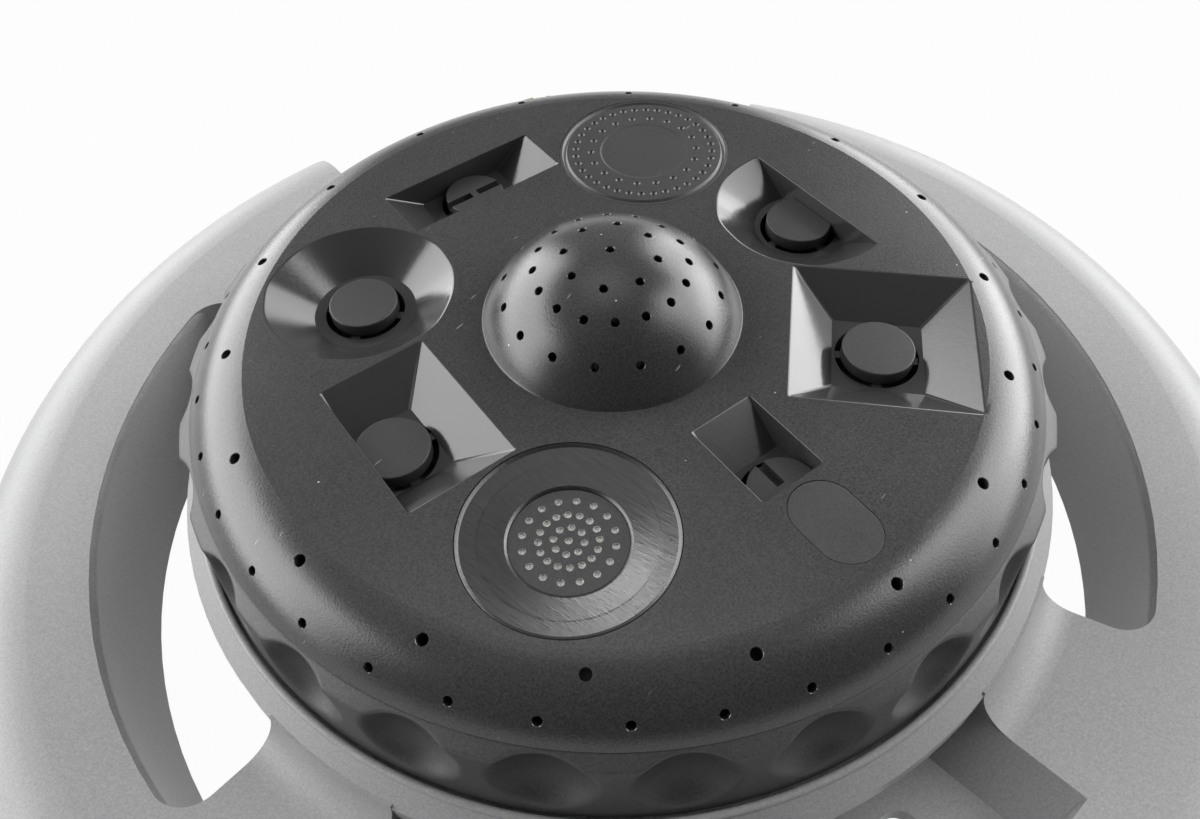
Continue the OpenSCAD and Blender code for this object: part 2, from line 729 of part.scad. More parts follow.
module port_plate() {
    color(charcoal) at_station(0) difference() {
        union() {
            translate([0, 0, plate_z + seat_gap]) cylinder(r = plate_r, h = plate_t - seat_gap);
            translate([0, 0, plate_hub_z]) cylinder(r = plate_hub_r, h = plate_hub_top - plate_hub_z);
        }
        translate([0, 0, plate_hub_z - past])
            cylinder(r = sleeve_r + sleeve_gap, h = plate_hub_top - plate_hub_z + 2 * past);
        // Groove for the pivot O-ring
        translate([0, 0, plate_z]) cylinder(r = sleeve_r + 2 * pivot_seal_r + 0.2, h = 2 * pivot_seal_r + 0.2);
        // Rebate for the plate O-ring
        translate([0, 0, plate_top - rim_seal_r]) rotate_extrude()
            translate([plate_r - 2 * rim_seal_r - 0.1, 0]) square([5, 5]);
        for (angle = port_angles) rotate([0, 0, angle]) {
            translate([port_circle_r, 0, plate_z - past]) cylinder(r = port_r, h = plate_t + 2 * past);
            translate([plunger_circle_r, 0, notch_z]) sphere(r = notch_r, $fn = 32);
        }
    }
}

module torus(middle, section) {
    rotate_extrude() translate([middle, 0]) circle(r = section, $fn = 32);
}

module plate_o_ring() {
    color(rubber_tone) translate([0, 0, plate_top + seat_gap])
        torus(plate_r - rim_seal_r - 0.05, rim_seal_r);
}

module pivot_o_ring() {
    color(rubber_tone) translate([0, 0, plate_z + pivot_seal_r + 0.1])
        torus(sleeve_r + pivot_seal_r + 0.05, pivot_seal_r);
}

// Pivot

module thrust_washer() {
    color(acetal_tone) translate([0, 0, bearing_z]) difference() {
        cylinder(r = foot_r - 0.5, h = thrust_t);
        translate([0, 0, -past]) cylinder(r = sleeve_r + 0.2, h = thrust_t + 2 * past);
    }
}

module pivot_sleeve() {
    color(steel_tone) translate([0, 0, bearing_z]) difference() {
        cylinder(r = sleeve_r, h = washer_z - bearing_z);
        translate([0, 0, -past]) cylinder(r = screw_r + seat_gap, h = washer_z - bearing_z + 2 * past);
    }
}

module pivot_washer() {
    color(steel_tone) translate([0, 0, washer_z]) difference() {
        cylinder(r = pivot_washer_r, h = pivot_washer_t);
        translate([0, 0, -past]) cylinder(r = screw_r + seat_gap, h = pivot_washer_t + 2 * past);
    }
}

module pivot_screw() {
    head_z = washer_z + pivot_washer_t;
    color(steel_tone) difference() {
        union() {
            translate([0, 0, head_z]) cylinder(r = screw_head_r, h = screw_head_h);
            translate([0, 0, bearing_z - screw_depth + 0.5])
                cylinder(r = screw_r, h = head_z - bearing_z + screw_depth);
        }
        translate([0, 0, head_z + screw_head_h / 2]) cylinder(r = screw_head_r / 2, h = screw_head_h, $fn = 6);
    }
}

// Base casting

module ring_section() {
    top_edge = 1.5;
    polygon([[ring_in_r, 0], [ring_out_r, 0], [ring_out_r - ring_draft, ring_arc_z], [ring_arc_r, ring_arc_z],
             [ring_arc_r, ring_h], [ring_in_r + ring_draft + top_edge, ring_h],
             [ring_in_r + ring_draft + top_edge, ring_h - top_edge], [ring_in_r + ring_draft, ring_h - top_edge]]);
    intersection() {
        translate([ring_arc_r, ring_arc_z]) circle(r = ring_arc);
        translate([ring_arc_r - 0.01, ring_arc_z - 0.01]) square([ring_arc + 0.01, ring_arc + 0.01]);
    }
    translate([ring_in_r + ring_draft + top_edge, ring_h - top_edge]) circle(r = top_edge);
}

module ring_cavity() {
    ceiling = ring_h - cast_t;
    polygon([[ring_in_r + cast_t, -past], [ring_out_r - cast_t, -past],
             [ring_out_r - ring_draft - cast_t, ring_arc_z], [ring_arc_r, ring_arc_z],
             [ring_arc_r, ceiling], [ring_in_r + ring_draft + cast_t, ceiling]]);
    intersection() {
        translate([ring_arc_r, ring_arc_z]) circle(r = ring_arc - cast_t);
        translate([ring_arc_r - 0.01, ring_arc_z - 0.01]) square([ring_arc, ring_arc]);
    }
}

// Wedge of the hose gap; the margin moves its sides apart
module hose_gap(margin) {
    far = 3 * ring_out_r;
    translate([0, -margin / sin(gap_half), -past]) linear_extrude(height = ring_h + 20)
        polygon([[0, 0], far * [sin(gap_half), cos(gap_half)], far * [-sin(gap_half), cos(gap_half)]]);
}

// Rounds the outer corner of a ring end, seen from above
module end_corner() {
    mid_r = ring_out_r - end_round;
    back = asin(end_round / mid_r);
    centre = 90 - gap_half - back;
    far = ring_out_r + 20;
    translate([0, 0, -past]) linear_extrude(height = ring_h + 20) difference() {
        polygon([mid_r * [cos(centre), sin(centre)],
                 mid_r * cos(back) * [cos(centre + back), sin(centre + back)],
                 far * [cos(centre + back + 2), sin(centre + back + 2)], far * [cos(centre), sin(centre)]]);
        translate(mid_r * [cos(centre), sin(centre)]) circle(r = end_round + 0.03);
    }
}

module both_sides() {
    children();
    mirror([1, 0, 0]) children();
}

// Angles below are measured from the hose axis, clockwise seen from above
module web(from, to, inner, outer) {
    sector(90 - to, 90 - from, inner, outer);
}

// Plan of the spokes, with round corners where they meet the hub and the ring
module spoke_plan() {
    offset(r = -open_round) offset(delta = open_round) union() {
        difference() {
            circle(r = ring_arc_r - 2);
            circle(r = ring_in_r + ring_draft + 0.6);
        }
        circle(r = hub_r - 1.2);
        both_sides() {
            web(gap_half - 4, side_open_from, hub_r - 4, ring_arc_r - 2);
            web(side_open_to, spoke_edge, hub_r - 4, ring_arc_r - 2);
        }
    }
}

module deck_plan() {
    offset(r = -open_round / 2) offset(delta = open_round / 2) offset(r = 1.5) offset(delta = -1.5) union() {
        both_sides() web(spoke_edge - 3, front_open_from, hub_r - 4, ring_in_r + ring_draft + 1.5);
        web(front_open_from, 360 - front_open_from, hub_r - 4, hub_r + 1.2);
        translate([-hump_r + 1, -ring_in_r - 2, 0]) square([2 * hump_r - 2, ring_in_r - hub_r + 5]);
    }
}

// Sloping wall from the spoke down to the lower front deck
module spoke_side() {
    rotate([0, 0, 90 - spoke_edge]) rotate([90, 0, 90])
        translate([0, 0, hub_r - 3]) linear_extrude(height = opening_w + 6)
            polygon([[1, ring_h], [0, ring_h], [-deck_drop - 0.6, deck_z], [-deck_drop - 0.6, deck_z - cast_t - 0.7],
                     [-deck_drop + 1.5, deck_z - cast_t - 0.7], [1, ring_h - cast_t]]);
}

module web_lip(angle, side) {
    lip_h = 8;
    rotate([0, 0, 90 - angle]) translate([hub_r - 3, side > 0 ? 0 : -cast_t, ring_h - lip_h])
        cube([opening_w + 6, cast_t, lip_h - 0.5]);
}

// Concave fillet from the collar down to the spokes
module collar_blend() {
    corner = collar_fillet + 0.6;
    intersection() {
        rotate_extrude() difference() {
            translate([hub_r - 1, ring_h - 1]) square([corner + 1, corner + 1]);
            translate([hub_r + corner, ring_h + corner]) circle(r = corner);
        }
        linear_extrude(height = 60) both_sides() {
            web(gap_half - 4, side_open_from, hub_r - 4, ring_in_r);
            web(side_open_to, spoke_edge, hub_r - 4, ring_in_r);
        }
    }
}

module hub_section() {
    lip_round = lip_w / 2;
    polygon([[0, floor_z - floor_t], [hub_r, floor_z - floor_t], [hub_r, floor_z - 0.5],
             [collar_r, collar_top - lip_round], [collar_in_r, collar_top - lip_round],
             [collar_in_r, floor_z], [0, floor_z]]);
    translate([collar_in_r + lip_round, collar_top - lip_round]) circle(r = lip_round);
    polygon([[hub_r - cast_t, floor_z - floor_t + 0.5], [hub_r, floor_z - floor_t],
             [hub_r - skirt_taper, skirt_z], [hub_r - skirt_taper - cast_t, skirt_z]]);
}

module hub_ribs() {
    for (angle = [0, 50, 130, 180, 230, 310]) rotate([0, 0, angle])
        translate([foot_r - 1, -rib_t / 2, floor_z - rib_h]) cube([hub_r - foot_r - cast_t, rib_t, rib_h - 1]);
}

// Axis of the hump, which falls from the collar to the ring
hump_run = ring_arc_r - hub_r;
hump_fall = atan((hump_top - ring_h) / hump_run);

module hump(r, lift) {
    translate([0, -hub_r, hump_top - hump_r]) rotate([90 + hump_fall, 0, 0])
        translate([0, 0, -4 - lift]) cylinder(r = r, h = hump_run / cos(hump_fall) + 4 + lift);
}

module seal_boss() {
    rotate([0, 0, port_angle]) translate([port_circle_r, 0, seal_pocket_z - cast_t])
        cylinder(r = boss_r, h = boss_top - seal_pocket_z + cast_t);
}

module plunger_boss() {
    rotate([0, 0, plunger_angle]) translate([plunger_circle_r, 0, detent_z - 2])
        cylinder(r = plunger_boss_r, h = plunger_top - 1 - detent_z + 2);
}

// Everything between the hub and the ring, before the hose gap is cut
module base_body() {
    rotate_extrude() ring_section();
    translate([0, 0, ring_h - cast_t - 0.2]) linear_extrude(height = cast_t + 0.2) difference() {
        spoke_plan();
        // The front, where the lower deck lies
        sector(spoke_edge - 270, 90 - spoke_edge, hub_r - 0.5, ring_in_r + ring_draft + 0.6);
    }
    translate([0, 0, deck_z - cast_t]) linear_extrude(height = cast_t) deck_plan();
    both_sides() {
        spoke_side();
        web_lip(side_open_from, 1);
        web_lip(side_open_to, -1);
        web_lip(gap_half, -1);
        web_lip(gap_half, 1);
    }
    collar_blend();
    hump(hump_r, 0);
}

module base_shell() {
    difference() {
        base_body();
        hose_gap(0);
        both_sides() end_corner();
        difference() {
            rotate_extrude() ring_cavity();
            hose_gap(cast_t);
        }
        // Inside of the hub and of the hump
        translate([0, 0, floor_z - 60]) cylinder(r = hub_r - cast_t, h = 120);
        difference() {
            hump(hump_r - cast_t, 5);
            translate([0, 0, -60]) cylinder(r = hub_r - cast_t - 1, h = 160);
        }
        translate([-hump_r - past, -ring_in_r - cast_t, -60])
            cube([2 * (hump_r + past), ring_in_r + cast_t - hub_r + 4, deck_z - cast_t + 60]);
        // Nothing reaches below the ground
        translate([-ring_out_r, -ring_out_r, -60]) cube([2 * ring_out_r, 2 * ring_out_r, 60]);
    }
}

module base_casting() {
    color(satin_grey) difference() {
        union() {
            base_shell();
            rotate_extrude() hub_section();
            cylinder(r = foot_r, h = bearing_z);
            hub_ribs();
            seal_boss();
            plunger_boss();
            along_y(supply_end - 4) cylinder(r = neck_r, h = neck_end - supply_end + 4);
        }
        // Screw hole in the bearing
        translate([0, 0, bearing_z - screw_depth]) cylinder(r = screw_r + seat_gap, h = screw_depth + past);
        // Supply bore and seal pocket
        along_y(supply_end) cylinder(r = bore_r, h = neck_end - supply_end + past);
        rotate([0, 0, port_angle]) translate([port_circle_r, 0, seal_pocket_z])
            cylinder(r = carrier_bore_r, h = 60);
        rotate([0, 0, plunger_angle]) translate([plunger_circle_r, 0, detent_z])
            cylinder(r = plunger_bore_r, h = 60);
    }
}

// Port seal and detent

// Round wire coil standing on z = 0, made as one tube of six sides
module coil(middle, wire, height, turns) {
    sides = 6;
    steps = 12;
    rings = turns * steps;
    function corner(i, j) = let (turn = 360 * i / steps, roll = 360 * j / sides, reach = middle + wire * cos(roll))
        [reach * cos(turn), reach * sin(turn), wire + (height - 2 * wire) * i / rings + wire * sin(roll)];
    points = [for (i = [0:rings], j = [0:sides - 1]) corner(i, j)];
    walls = [for (i = [0:rings - 1], j = [0:sides - 1]) let (k = (j + 1) % sides)
        [i * sides + j, i * sides + k, (i + 1) * sides + k, (i + 1) * sides + j]];
    start = [for (j = [sides - 1:-1:0]) j];
    end = [for (j = [0:sides - 1]) rings * sides + j];
    polyhedron(points = points, faces = concat(walls, [start, end]));
}

module at_port() {
    rotate([0, 0, port_angle]) translate([port_circle_r, 0, 0]) children();
}

module at_plunger() {
    rotate([0, 0, plunger_angle]) translate([plunger_circle_r, 0, 0]) children();
}

module seal_spring() {
    color(steel_tone) at_port() translate([0, 0, seal_pocket_z + 0.1])
        coil(carrier_r - seal_wire_r - 0.5, seal_wire_r, carrier_z - seal_pocket_z - 0.2, seal_turns);
}

module seal_carrier() {
    color(acetal_tone) at_port() translate([0, 0, carrier_z]) difference() {
        cylinder(r = carrier_r, h = carrier_h);
        translate([0, 0, -past]) cylinder(r = port_r + 0.8, h = carrier_h + 2 * past);
    }
}

module port_seal() {
    color(rubber_tone) at_port() translate([0, 0, carrier_top]) difference() {
        cylinder(r = carrier_r - 0.5, h = seal_h);
        translate([0, 0, -past]) cylinder(r = port_r + 0.5, h = seal_h + 2 * past);
    }
}

module detent_plunger() {
    color(steel_tone) at_plunger() {
        translate([0, 0, plunger_z]) cylinder(r = plunger_r, h = plunger_l);
        translate([0, 0, plunger_top]) sphere(r = tip_r, $fn = 32);
    }
}

module detent_spring() {
    color(steel_tone) at_plunger() translate([0, 0, detent_z + 0.1])
        coil(plunger_r - detent_wire_r - 0.2, detent_wire_r, plunger_z - detent_z - 0.2, detent_turns);
}

// Hose swivel

module inlet_tail() {
    color(brass_tone) difference() {
        union() {
            along_y(neck_end - tail_depth) cylinder(r = tail_r, h = flange_y + flange_t - neck_end + tail_depth);
            along_y(flange_y) cylinder(r = flange_r, h = flange_t);
        }
        along_y(neck_end - tail_depth - past)
            cylinder(r = tail_bore_r, h = flange_y + flange_t - neck_end + tail_depth + 2 * past);
    }
}

module hose_coupling() {
    color(brass_tone) difference() {
        along_y(coupling_y) cylinder(r = coupling_r, h = coupling_l);
        along_y(coupling_y - past) cylinder(r = tail_r + swivel_gap, h = coupling_back + 2 * past);
        along_y(coupling_y + coupling_back) cylinder(r = washer_seat_r, h = thread_y - coupling_y - coupling_back);
        along_y(thread_y - 0.1) cylinder(r = thread_r, h = coupling_end - thread_y + past);
        for (k = [0:flutes - 1]) along_y(coupling_y + 2) rotate([0, 0, k * 360 / flutes])
            translate([coupling_r + flute_r * 0.45, 0, 0]) cylinder(r = flute_r, h = coupling_l);
    }
}

module hose_washer() {
    color(rubber_tone) along_y(washer_y) difference() {
        cylinder(r = washer_seat_r - 0.1, h = washer_t);
        translate([0, 0, -past]) cylinder(r = washer_hole_r, h = washer_t + 2 * past);
    }
}

// Circles of holes in the inlet screen: how many, and on which radius
screen_rings = [[1, 0], [6, 2], [12, 4.1]];

module inlet_screen() {
    hole_d = 1.2;
    color(steel_tone) along_y(washer_y + washer_t / 2) difference() {
        cylinder(r = washer_hole_r - seat_gap, h = screen_t);
        for (ring = screen_rings, k = [0:ring[0] - 1])
            rotate([0, 0, k * 360 / ring[0]]) translate([ring[1], 0, -past])
                cylinder(d = hole_d, h = screen_t + 2 * past, $fn = 16);
    }
}

base_casting();
inlet_tail();
hose_coupling();
hose_washer();
inlet_screen();
seal_spring();
seal_carrier();
port_seal();
detent_plunger();
detent_spring();
thrust_washer();
pivot_sleeve();
pivot_screw();
pivot_washer();
pivot_o_ring();
port_plate();
plate_o_ring();
grip_ring();
turret_shell();
nozzle_square();
nozzle_half_round();
nozzle_strip();
nozzle_round();
nozzle_rectangle();
nozzle_slot();
shower_dish();
shower_plate();
mist_disc();
oval_inlay();
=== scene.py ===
"""Looks of a turret lawn sprinkler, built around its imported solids.

The builders work in millimetres, in the frame of the part: +Z up along the turret's axis, the hose
inlet towards +Y. A mesh turns to metres when it becomes an object.
"""

import logging
import math
from dataclasses import dataclass, field
from enum import Enum
from typing import Any, Callable, Sequence

import bmesh
import bpy
from mathutils import Matrix, Vector


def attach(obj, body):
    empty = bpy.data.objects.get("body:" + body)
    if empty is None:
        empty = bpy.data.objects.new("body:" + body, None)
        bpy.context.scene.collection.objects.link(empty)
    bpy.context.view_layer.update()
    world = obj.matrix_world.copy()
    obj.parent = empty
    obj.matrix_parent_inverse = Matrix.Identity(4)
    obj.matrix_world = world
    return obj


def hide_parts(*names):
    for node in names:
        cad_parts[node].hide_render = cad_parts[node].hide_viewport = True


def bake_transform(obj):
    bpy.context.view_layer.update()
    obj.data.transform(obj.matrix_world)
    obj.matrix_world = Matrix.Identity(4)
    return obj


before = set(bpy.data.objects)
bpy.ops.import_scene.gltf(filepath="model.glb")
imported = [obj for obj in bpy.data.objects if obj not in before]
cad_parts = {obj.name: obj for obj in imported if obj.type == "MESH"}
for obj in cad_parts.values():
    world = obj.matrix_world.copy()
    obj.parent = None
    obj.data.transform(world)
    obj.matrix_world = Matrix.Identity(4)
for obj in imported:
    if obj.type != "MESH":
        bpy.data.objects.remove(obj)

LOG = logging.getLogger("sprinkler")
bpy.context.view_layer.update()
MM = 0.001
MERGE_MM = 0.0005
TURRET_TURN = -18.7  # Degrees from the turret's own frame to the part's, at rest
FACE_Z = 50.0  # Height of the flat face
STATION_R = 34.6  # Distance of the round stations from the axis
INLAY_R = 41.1  # Distance of the oval inlay from the axis

Point = tuple[float, float]
Profile = list[Point]
Rows = tuple[tuple[int, float, float], ...]
Mesh = bmesh.types.BMesh
Object = bpy.types.Object
Material = bpy.types.Material
Tree = bpy.types.NodeTree
Socket = bpy.types.NodeSocket


class Cut(Enum):
    """How a tool mesh works on a body."""

    AWAY = "DIFFERENCE"
    ON = "UNION"


class Surface(Enum):
    """Material slots of a moulded piece, in the order of its slots."""

    GRAINED = 0
    POLISHED = 1


class Station(Enum):
    """Angles of the spray stations round the turret, in degrees, in the turret's own frame."""

    SQUARE = 0
    HALF_ROUND = 45
    MIST = 90
    STRIP = 135
    ROUND = 180
    RECTANGLE = 225
    SHOWER = 270
    SLOT = 315


# Mesh helpers


def arc(centre: Point, radius: float, start: float, end: float, steps: int) -> Profile:
    """Points of an arc in the plane of a profile.

    Args:
        centre: Centre of the arc, as radius and height.
        radius: Radius of the arc.
        start: First angle in degrees, from the outward direction.
        end: Last angle in degrees.
        steps: Number of chords.

    Returns:
        The points from start to end, both included.
    """
    angles = [math.radians(start + (end - start) * i / steps) for i in range(steps + 1)]
    return [(centre[0] + radius * math.cos(a), centre[1] + radius * math.sin(a)) for a in angles]


def rounded(points: Profile, radius: float, steps: int = 4) -> Profile:
    """Rounds the inner corners of an open profile.

    Args:
        points: Corners of the profile. The first and the last stay as they are.
        radius: Distance from a corner at which its rounding starts.
        steps: Number of chords in each rounding.

    Returns:
        The profile with each inner corner replaced by a short curve.
    """
    result = [points[0]]
    for before, corner, after in zip(points, points[1:], points[2:]):
        here = Vector(corner)
        start = here + (Vector(before) - here).normalized() * radius
        end = here + (Vector(after) - here).normalized() * radius
        for i in range(steps + 1):
            t = i / steps
            point = start * (1 - t) ** 2 + here * 2 * t * (1 - t) + end * t * t
            result.append((point.x, point.y))
    result.append(points[-1])
    return result


def divided(points: Profile, pitch: float) -> Profile:
    """Adds points along a profile so that none lies further than the pitch from the next."""
    result = [points[0]]
    for before, after in zip(points, points[1:]):
        parts = max(1, math.ceil(math.dist(before, after) / pitch))
        result += [
            (before[0] + (after[0] - before[0]) * i / parts, before[1] + (after[1] - before[1]) * i / parts)
            for i in range(1, parts + 1)
        ]
    return result


def revolve(profile: Profile, steps: int, surface: Surface = Surface.GRAINED, closed: bool = True) -> Mesh:
    """Spins a profile about the Z axis.

    Args:
        profile: Points as radius and height.
        steps: Number of faces round the axis.
        surface: Material slot of the faces.
        closed: Whether the last point joins the first. A profile that ends on the axis is left open.

    Returns:
        A closed mesh with its faces pointing outwards.
    """
    mesh = bmesh.new()
    verts = [mesh.verts.new((r, 0.0, z)) for r, z in profile]
    pairs = list(zip(verts, verts[1:]))
    if closed:
        pairs.append((verts[-1], verts[0]))
    edges = [mesh.edges.new(pair) for pair in pairs]
    spun = {"cent": (0, 0, 0), "axis": (0, 0, 1), "angle": math.tau, "steps": steps, "use_merge": True}
    bmesh.ops.spin(mesh, geom=verts + edges, **spun)
    bmesh.ops.remove_doubles(mesh, verts=mesh.verts, dist=MERGE_MM)
    bmesh.ops.recalc_face_normals(mesh, faces=mesh.faces)
    paint(mesh, surface)
    return mesh


def paint(mesh: Mesh, surface: Surface) -> None:
    """Gives every face of a mesh one material slot."""
    for face in mesh.faces:
        face.material_index = surface.value


def block(x: Point, half_y: float, z: Point) -> Mesh:
    """Plain block between two x and two z, centred on y = 0, with polished faces."""
    mesh = bmesh.new()
    bmesh.ops.create_cube(mesh, size=2.0)
    for vert in mesh.verts:
        vert.co = (x[vert.co.x > 0], math.copysign(half_y, vert.co.y), z[vert.co.z > 0])
    paint(mesh, Surface.POLISHED)
    return mesh


def cone(low_r: float, high_r: float, bottom: float, top: float, x: float = 0.0, steps: int = 96) -> Mesh:
    """Upright cone or cylinder.

    Args:
        low_r: Radius at the bottom.
        high_r: Radius at the top.
        bottom: Height of the bottom.
        top: Height of the top.
        x: Distance of its axis from the origin, along x.
        steps: Number of sides.

    Returns:
        A closed mesh with polished faces.
    """
    mesh = bmesh.new()
    middle = Matrix.Translation((x, 0, (bottom + top) / 2))
    size = {"radius1": low_r, "radius2": high_r, "depth": top - bottom}
    bmesh.ops.create_cone(mesh, cap_ends=True, segments=steps, matrix=middle, **size)
    paint(mesh, Surface.POLISHED)
    return mesh


def clip(mesh: Mesh, point: Sequence[float], normal: Sequence[float]) -> Mesh:
    """Removes what lies beyond a plane and closes the cut.

    Args:
        mesh: Closed mesh to cut.
        point: A point of the plane.
        normal: Direction of the side that goes.

    Returns:
        The same mesh.
    """
    geometry = mesh.verts[:] + mesh.edges[:] + mesh.faces[:]
    result = bmesh.ops.bisect_plane(mesh, geom=geometry, plane_co=point, plane_no=normal, clear_outer=True)
    rim = [item for item in result["geom_cut"] if isinstance(item, bmesh.types.BMEdge)]
    surface = mesh.faces[:][0].material_index
    for face in bmesh.ops.holes_fill(mesh, edges=rim)["faces"]:
        face.material_index = surface
    bmesh.ops.recalc_face_normals(mesh, faces=mesh.faces)
    return mesh


def stored(name: str, mesh: Mesh) -> bpy.types.Mesh:
    """Mesh as Blender keeps it. The argument is used up."""
    data = bpy.data.meshes.new(name)
    mesh.to_mesh(data)
    mesh.free()
    return data


def put(name: str, data: bpy.types.ID) -> Object:
    """Object in the scene that holds a mesh, a lamp or a camera."""
    item = bpy.data.objects.new(name, data)
    bpy.context.scene.collection.objects.link(item)
    return item


def middle(edge: bmesh.types.BMEdge) -> Vector:
    """Middle of an edge."""
    return (edge.verts[0].co + edge.verts[1].co) / 2


def join(*meshes: Mesh) -> Mesh:
    """Puts several meshes into one, without merging their surfaces."""
    result = bmesh.new()
    for mesh in meshes:
        data = stored("part", mesh)
        result.from_mesh(data)
        bpy.data.meshes.remove(data)
    return result


def turned(mesh: Mesh, degrees: float) -> Mesh:
    """Turns a mesh about the Z axis."""
    turn = Matrix.Rotation(math.radians(degrees), 3, "Z")
    bmesh.ops.rotate(mesh, verts=mesh.verts, cent=(0, 0, 0), matrix=turn)
    return mesh


def circles(rows: Rows, make: Callable[[float], Mesh]) -> list[Mesh]:
    """Meshes in circles round the Z axis.

    Args:
        rows: Count, radius and first angle in degrees of each circle.
        make: Builds one mesh at a distance from the axis, along x.

    Returns:
        All the meshes.
    """
    return [turned(make(r), phase + 360 * k / count) for count, r, phase in rows for k in range(count)]


def work(body: Mesh, tool: Mesh, cut: Cut) -> Mesh:
    """Joins a tool to a body or takes it away.

    Args:
        body: Closed mesh that is worked on.
        tool: Closed mesh of the tool.
        cut: What the tool does.

    Returns:
        A new mesh. Both arguments are used up.
    """
    objects = []
    for name, mesh in (("body", body), ("tool", tool)):
        data = stored(name, mesh)
        for surface in Surface:
            known = bpy.data.materials.get(surface.name)
            data.materials.append(known or bpy.data.materials.new(surface.name))
        objects.append(put(name, data))
    modifier = objects[0].modifiers.new("work", "BOOLEAN")
    modifier.operation = cut.value
    modifier.solver = "EXACT"
    modifier.object = objects[1]
    graph = bpy.context.evaluated_depsgraph_get()
    result = bmesh.new()
    result.from_mesh(objects[0].evaluated_get(graph).to_mesh())
    for item in objects:
        data = item.data
        bpy.data.objects.remove(item)
        bpy.data.meshes.remove(data)
    bmesh.ops.remove_doubles(result, verts=result.verts, dist=MERGE_MM)
    return result


def soften(mesh: Mesh, radius: float, segments: int, where: Callable[[Vector], bool]) -> None:
    """Rounds the sharp edges of a mesh.

    Args:
        mesh: Mesh to change.
        radius: Width of the rounding.
        segments: Faces across each rounding.
        where: Says whether an edge with a given middle is rounded.
    """
    limit = math.radians(50.0)
    sharp = [edge for edge in mesh.edges if len(edge.link_faces) == 2 and edge.calc_face_angle(0.0) > limit]
    edges = [edge for edge in sharp if where(middle(edge))]
    style = {"offset_type": "OFFSET", "profile": 0.5, "affect": "EDGES", "material": -1}
    bmesh.ops.bevel(mesh, geom=edges, offset=radius, segments=segments, **style)


def loft(rings: Sequence[Sequence[Vector]], surface: Surface) -> Mesh:
    """Spans a closed skin over rings of points that follow each other.

    Args:
        rings: Rings with the same number of points, the first and the last of which are closed with a face.
        surface: Material slot of the skin.

    Returns:
        A closed mesh with its faces pointing outwards.
    """
    mesh = bmesh.new()
    loops = []
    for ring in rings:
        verts = [mesh.verts.new(point) for point in ring]
        loops.append([mesh.edges.new(pair) for pair in zip(verts, verts[1:] + verts[:1])])
    for low, high in zip(loops, loops[1:]):
        bmesh.ops.bridge_loops(mesh, edges=low + high)
    for end in (loops[0], loops[-1]):
        bmesh.ops.contextual_create(mesh, geom=end)
    bmesh.ops.recalc_face_normals(mesh, faces=mesh.faces)
    paint(mesh, surface)
    return mesh


def merge_flats(mesh: Mesh) -> None:
    """Joins faces that lie in one plane, so that a flat shades evenly."""
    limits = {"angle_limit": math.radians(0.3), "use_dissolve_boundaries": False, "delimit": {"MATERIAL"}}
    bmesh.ops.dissolve_limit(mesh, verts=mesh.verts, edges=mesh.edges, **limits)


def shape(
    name: str,
    mesh: Mesh,
    materials: Sequence[Material],
    sharp: float = 40.0,
    crease: Callable[[Vector], bool] | None = None,
) -> Object:
    """Turns a mesh in millimetres into an object in metres.

    Args:
        name: Name of the piece.
        mesh: Mesh in the frame of the part. It is used up.
        materials: Materials of its slots.
        sharp: Angle in degrees past which an edge is drawn sharp.
        crease: Says whether an edge with a given middle is drawn sharp whatever its angle.

    Returns:
        The new object, which sits at the origin.
    """
    limit = math.radians(sharp)
    for face in mesh.faces:
        face.smooth = True
    for edge in mesh.edges:
        edge.smooth = len(edge.link_faces) == 2 and edge.calc_face_angle(0.0) < limit
        if crease is not None and crease(middle(edge)):
            edge.smooth = False
    bmesh.ops.scale(mesh, vec=(MM, MM, MM), verts=mesh.verts)
    data = stored(name, mesh)
    for material in materials:
        data.materials.append(material)
    piece = put(name, data)
    weighted = piece.modifiers.new("even_shading", "WEIGHTED_NORMAL")
    weighted.keep_sharp = True
    weighted.weight = 80
    return piece


def place(piece: Object, body: str, slot: str, *nodes: str) -> Object:
    """Lets a piece ride on its body in place of its solids, and reports it.

    Args:
        piece: The finished piece.
        body: Body of the frame that it moves with.
        slot: Material slot of the record that its finish belongs to. Not used.
        nodes: Solids that it stands for.

    Returns:
        The same piece.
    """
    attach(piece, body)
    if nodes:
        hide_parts(*nodes)
    solids = ", ".join(nodes) or "itself"
    LOG.info("%s rides on %s for %s, %d faces", piece.name, body, solids, len(piece.data.polygons))
    return piece


def stand(mesh: Mesh, station: Station, x: float = 0.0) -> Mesh:
    """Moves a mesh out along +X and round to its station on the turret."""
    bmesh.ops.translate(mesh, verts=mesh.verts, vec=(x, 0, 0))
    return turned(mesh, station.value + TURRET_TURN)


# Shader nodes


def srgb(code: str, alpha: float = 1.0) -> tuple[float, float, float, float]:
    """Linear colour of an sRGB hex code."""
    values = [int(code[i : i + 2], 16) / 255 for i in (1, 3, 5)]
    linear = [v / 12.92 if v <= 0.04045 else ((v + 0.055) / 1.055) ** 2.4 for v in values]
    return (linear[0], linear[1], linear[2], alpha)


def add(tree: Tree, kind: str, values: dict[str | int, Any]) -> bpy.types.Node:
    """Adds a node with its settings and links.

    Args:
        tree: Node tree that gets the node.
        kind: Blender's name of the node type, without ShaderNode.
        values: Attributes of the node, and values or sockets for its inputs, under their names or
            the numbers of the inputs.

    Returns:
        The new node.
    """
    node = tree.nodes.new(f"ShaderNode{kind}")
    for key, value in values.items():
        if isinstance(value, Socket):
            tree.links.new(value, node.inputs[key])
        elif isinstance(key, str) and hasattr(node, key):
            setattr(node, key, value)
        else:
            node.inputs[key].default_value = value
    return node


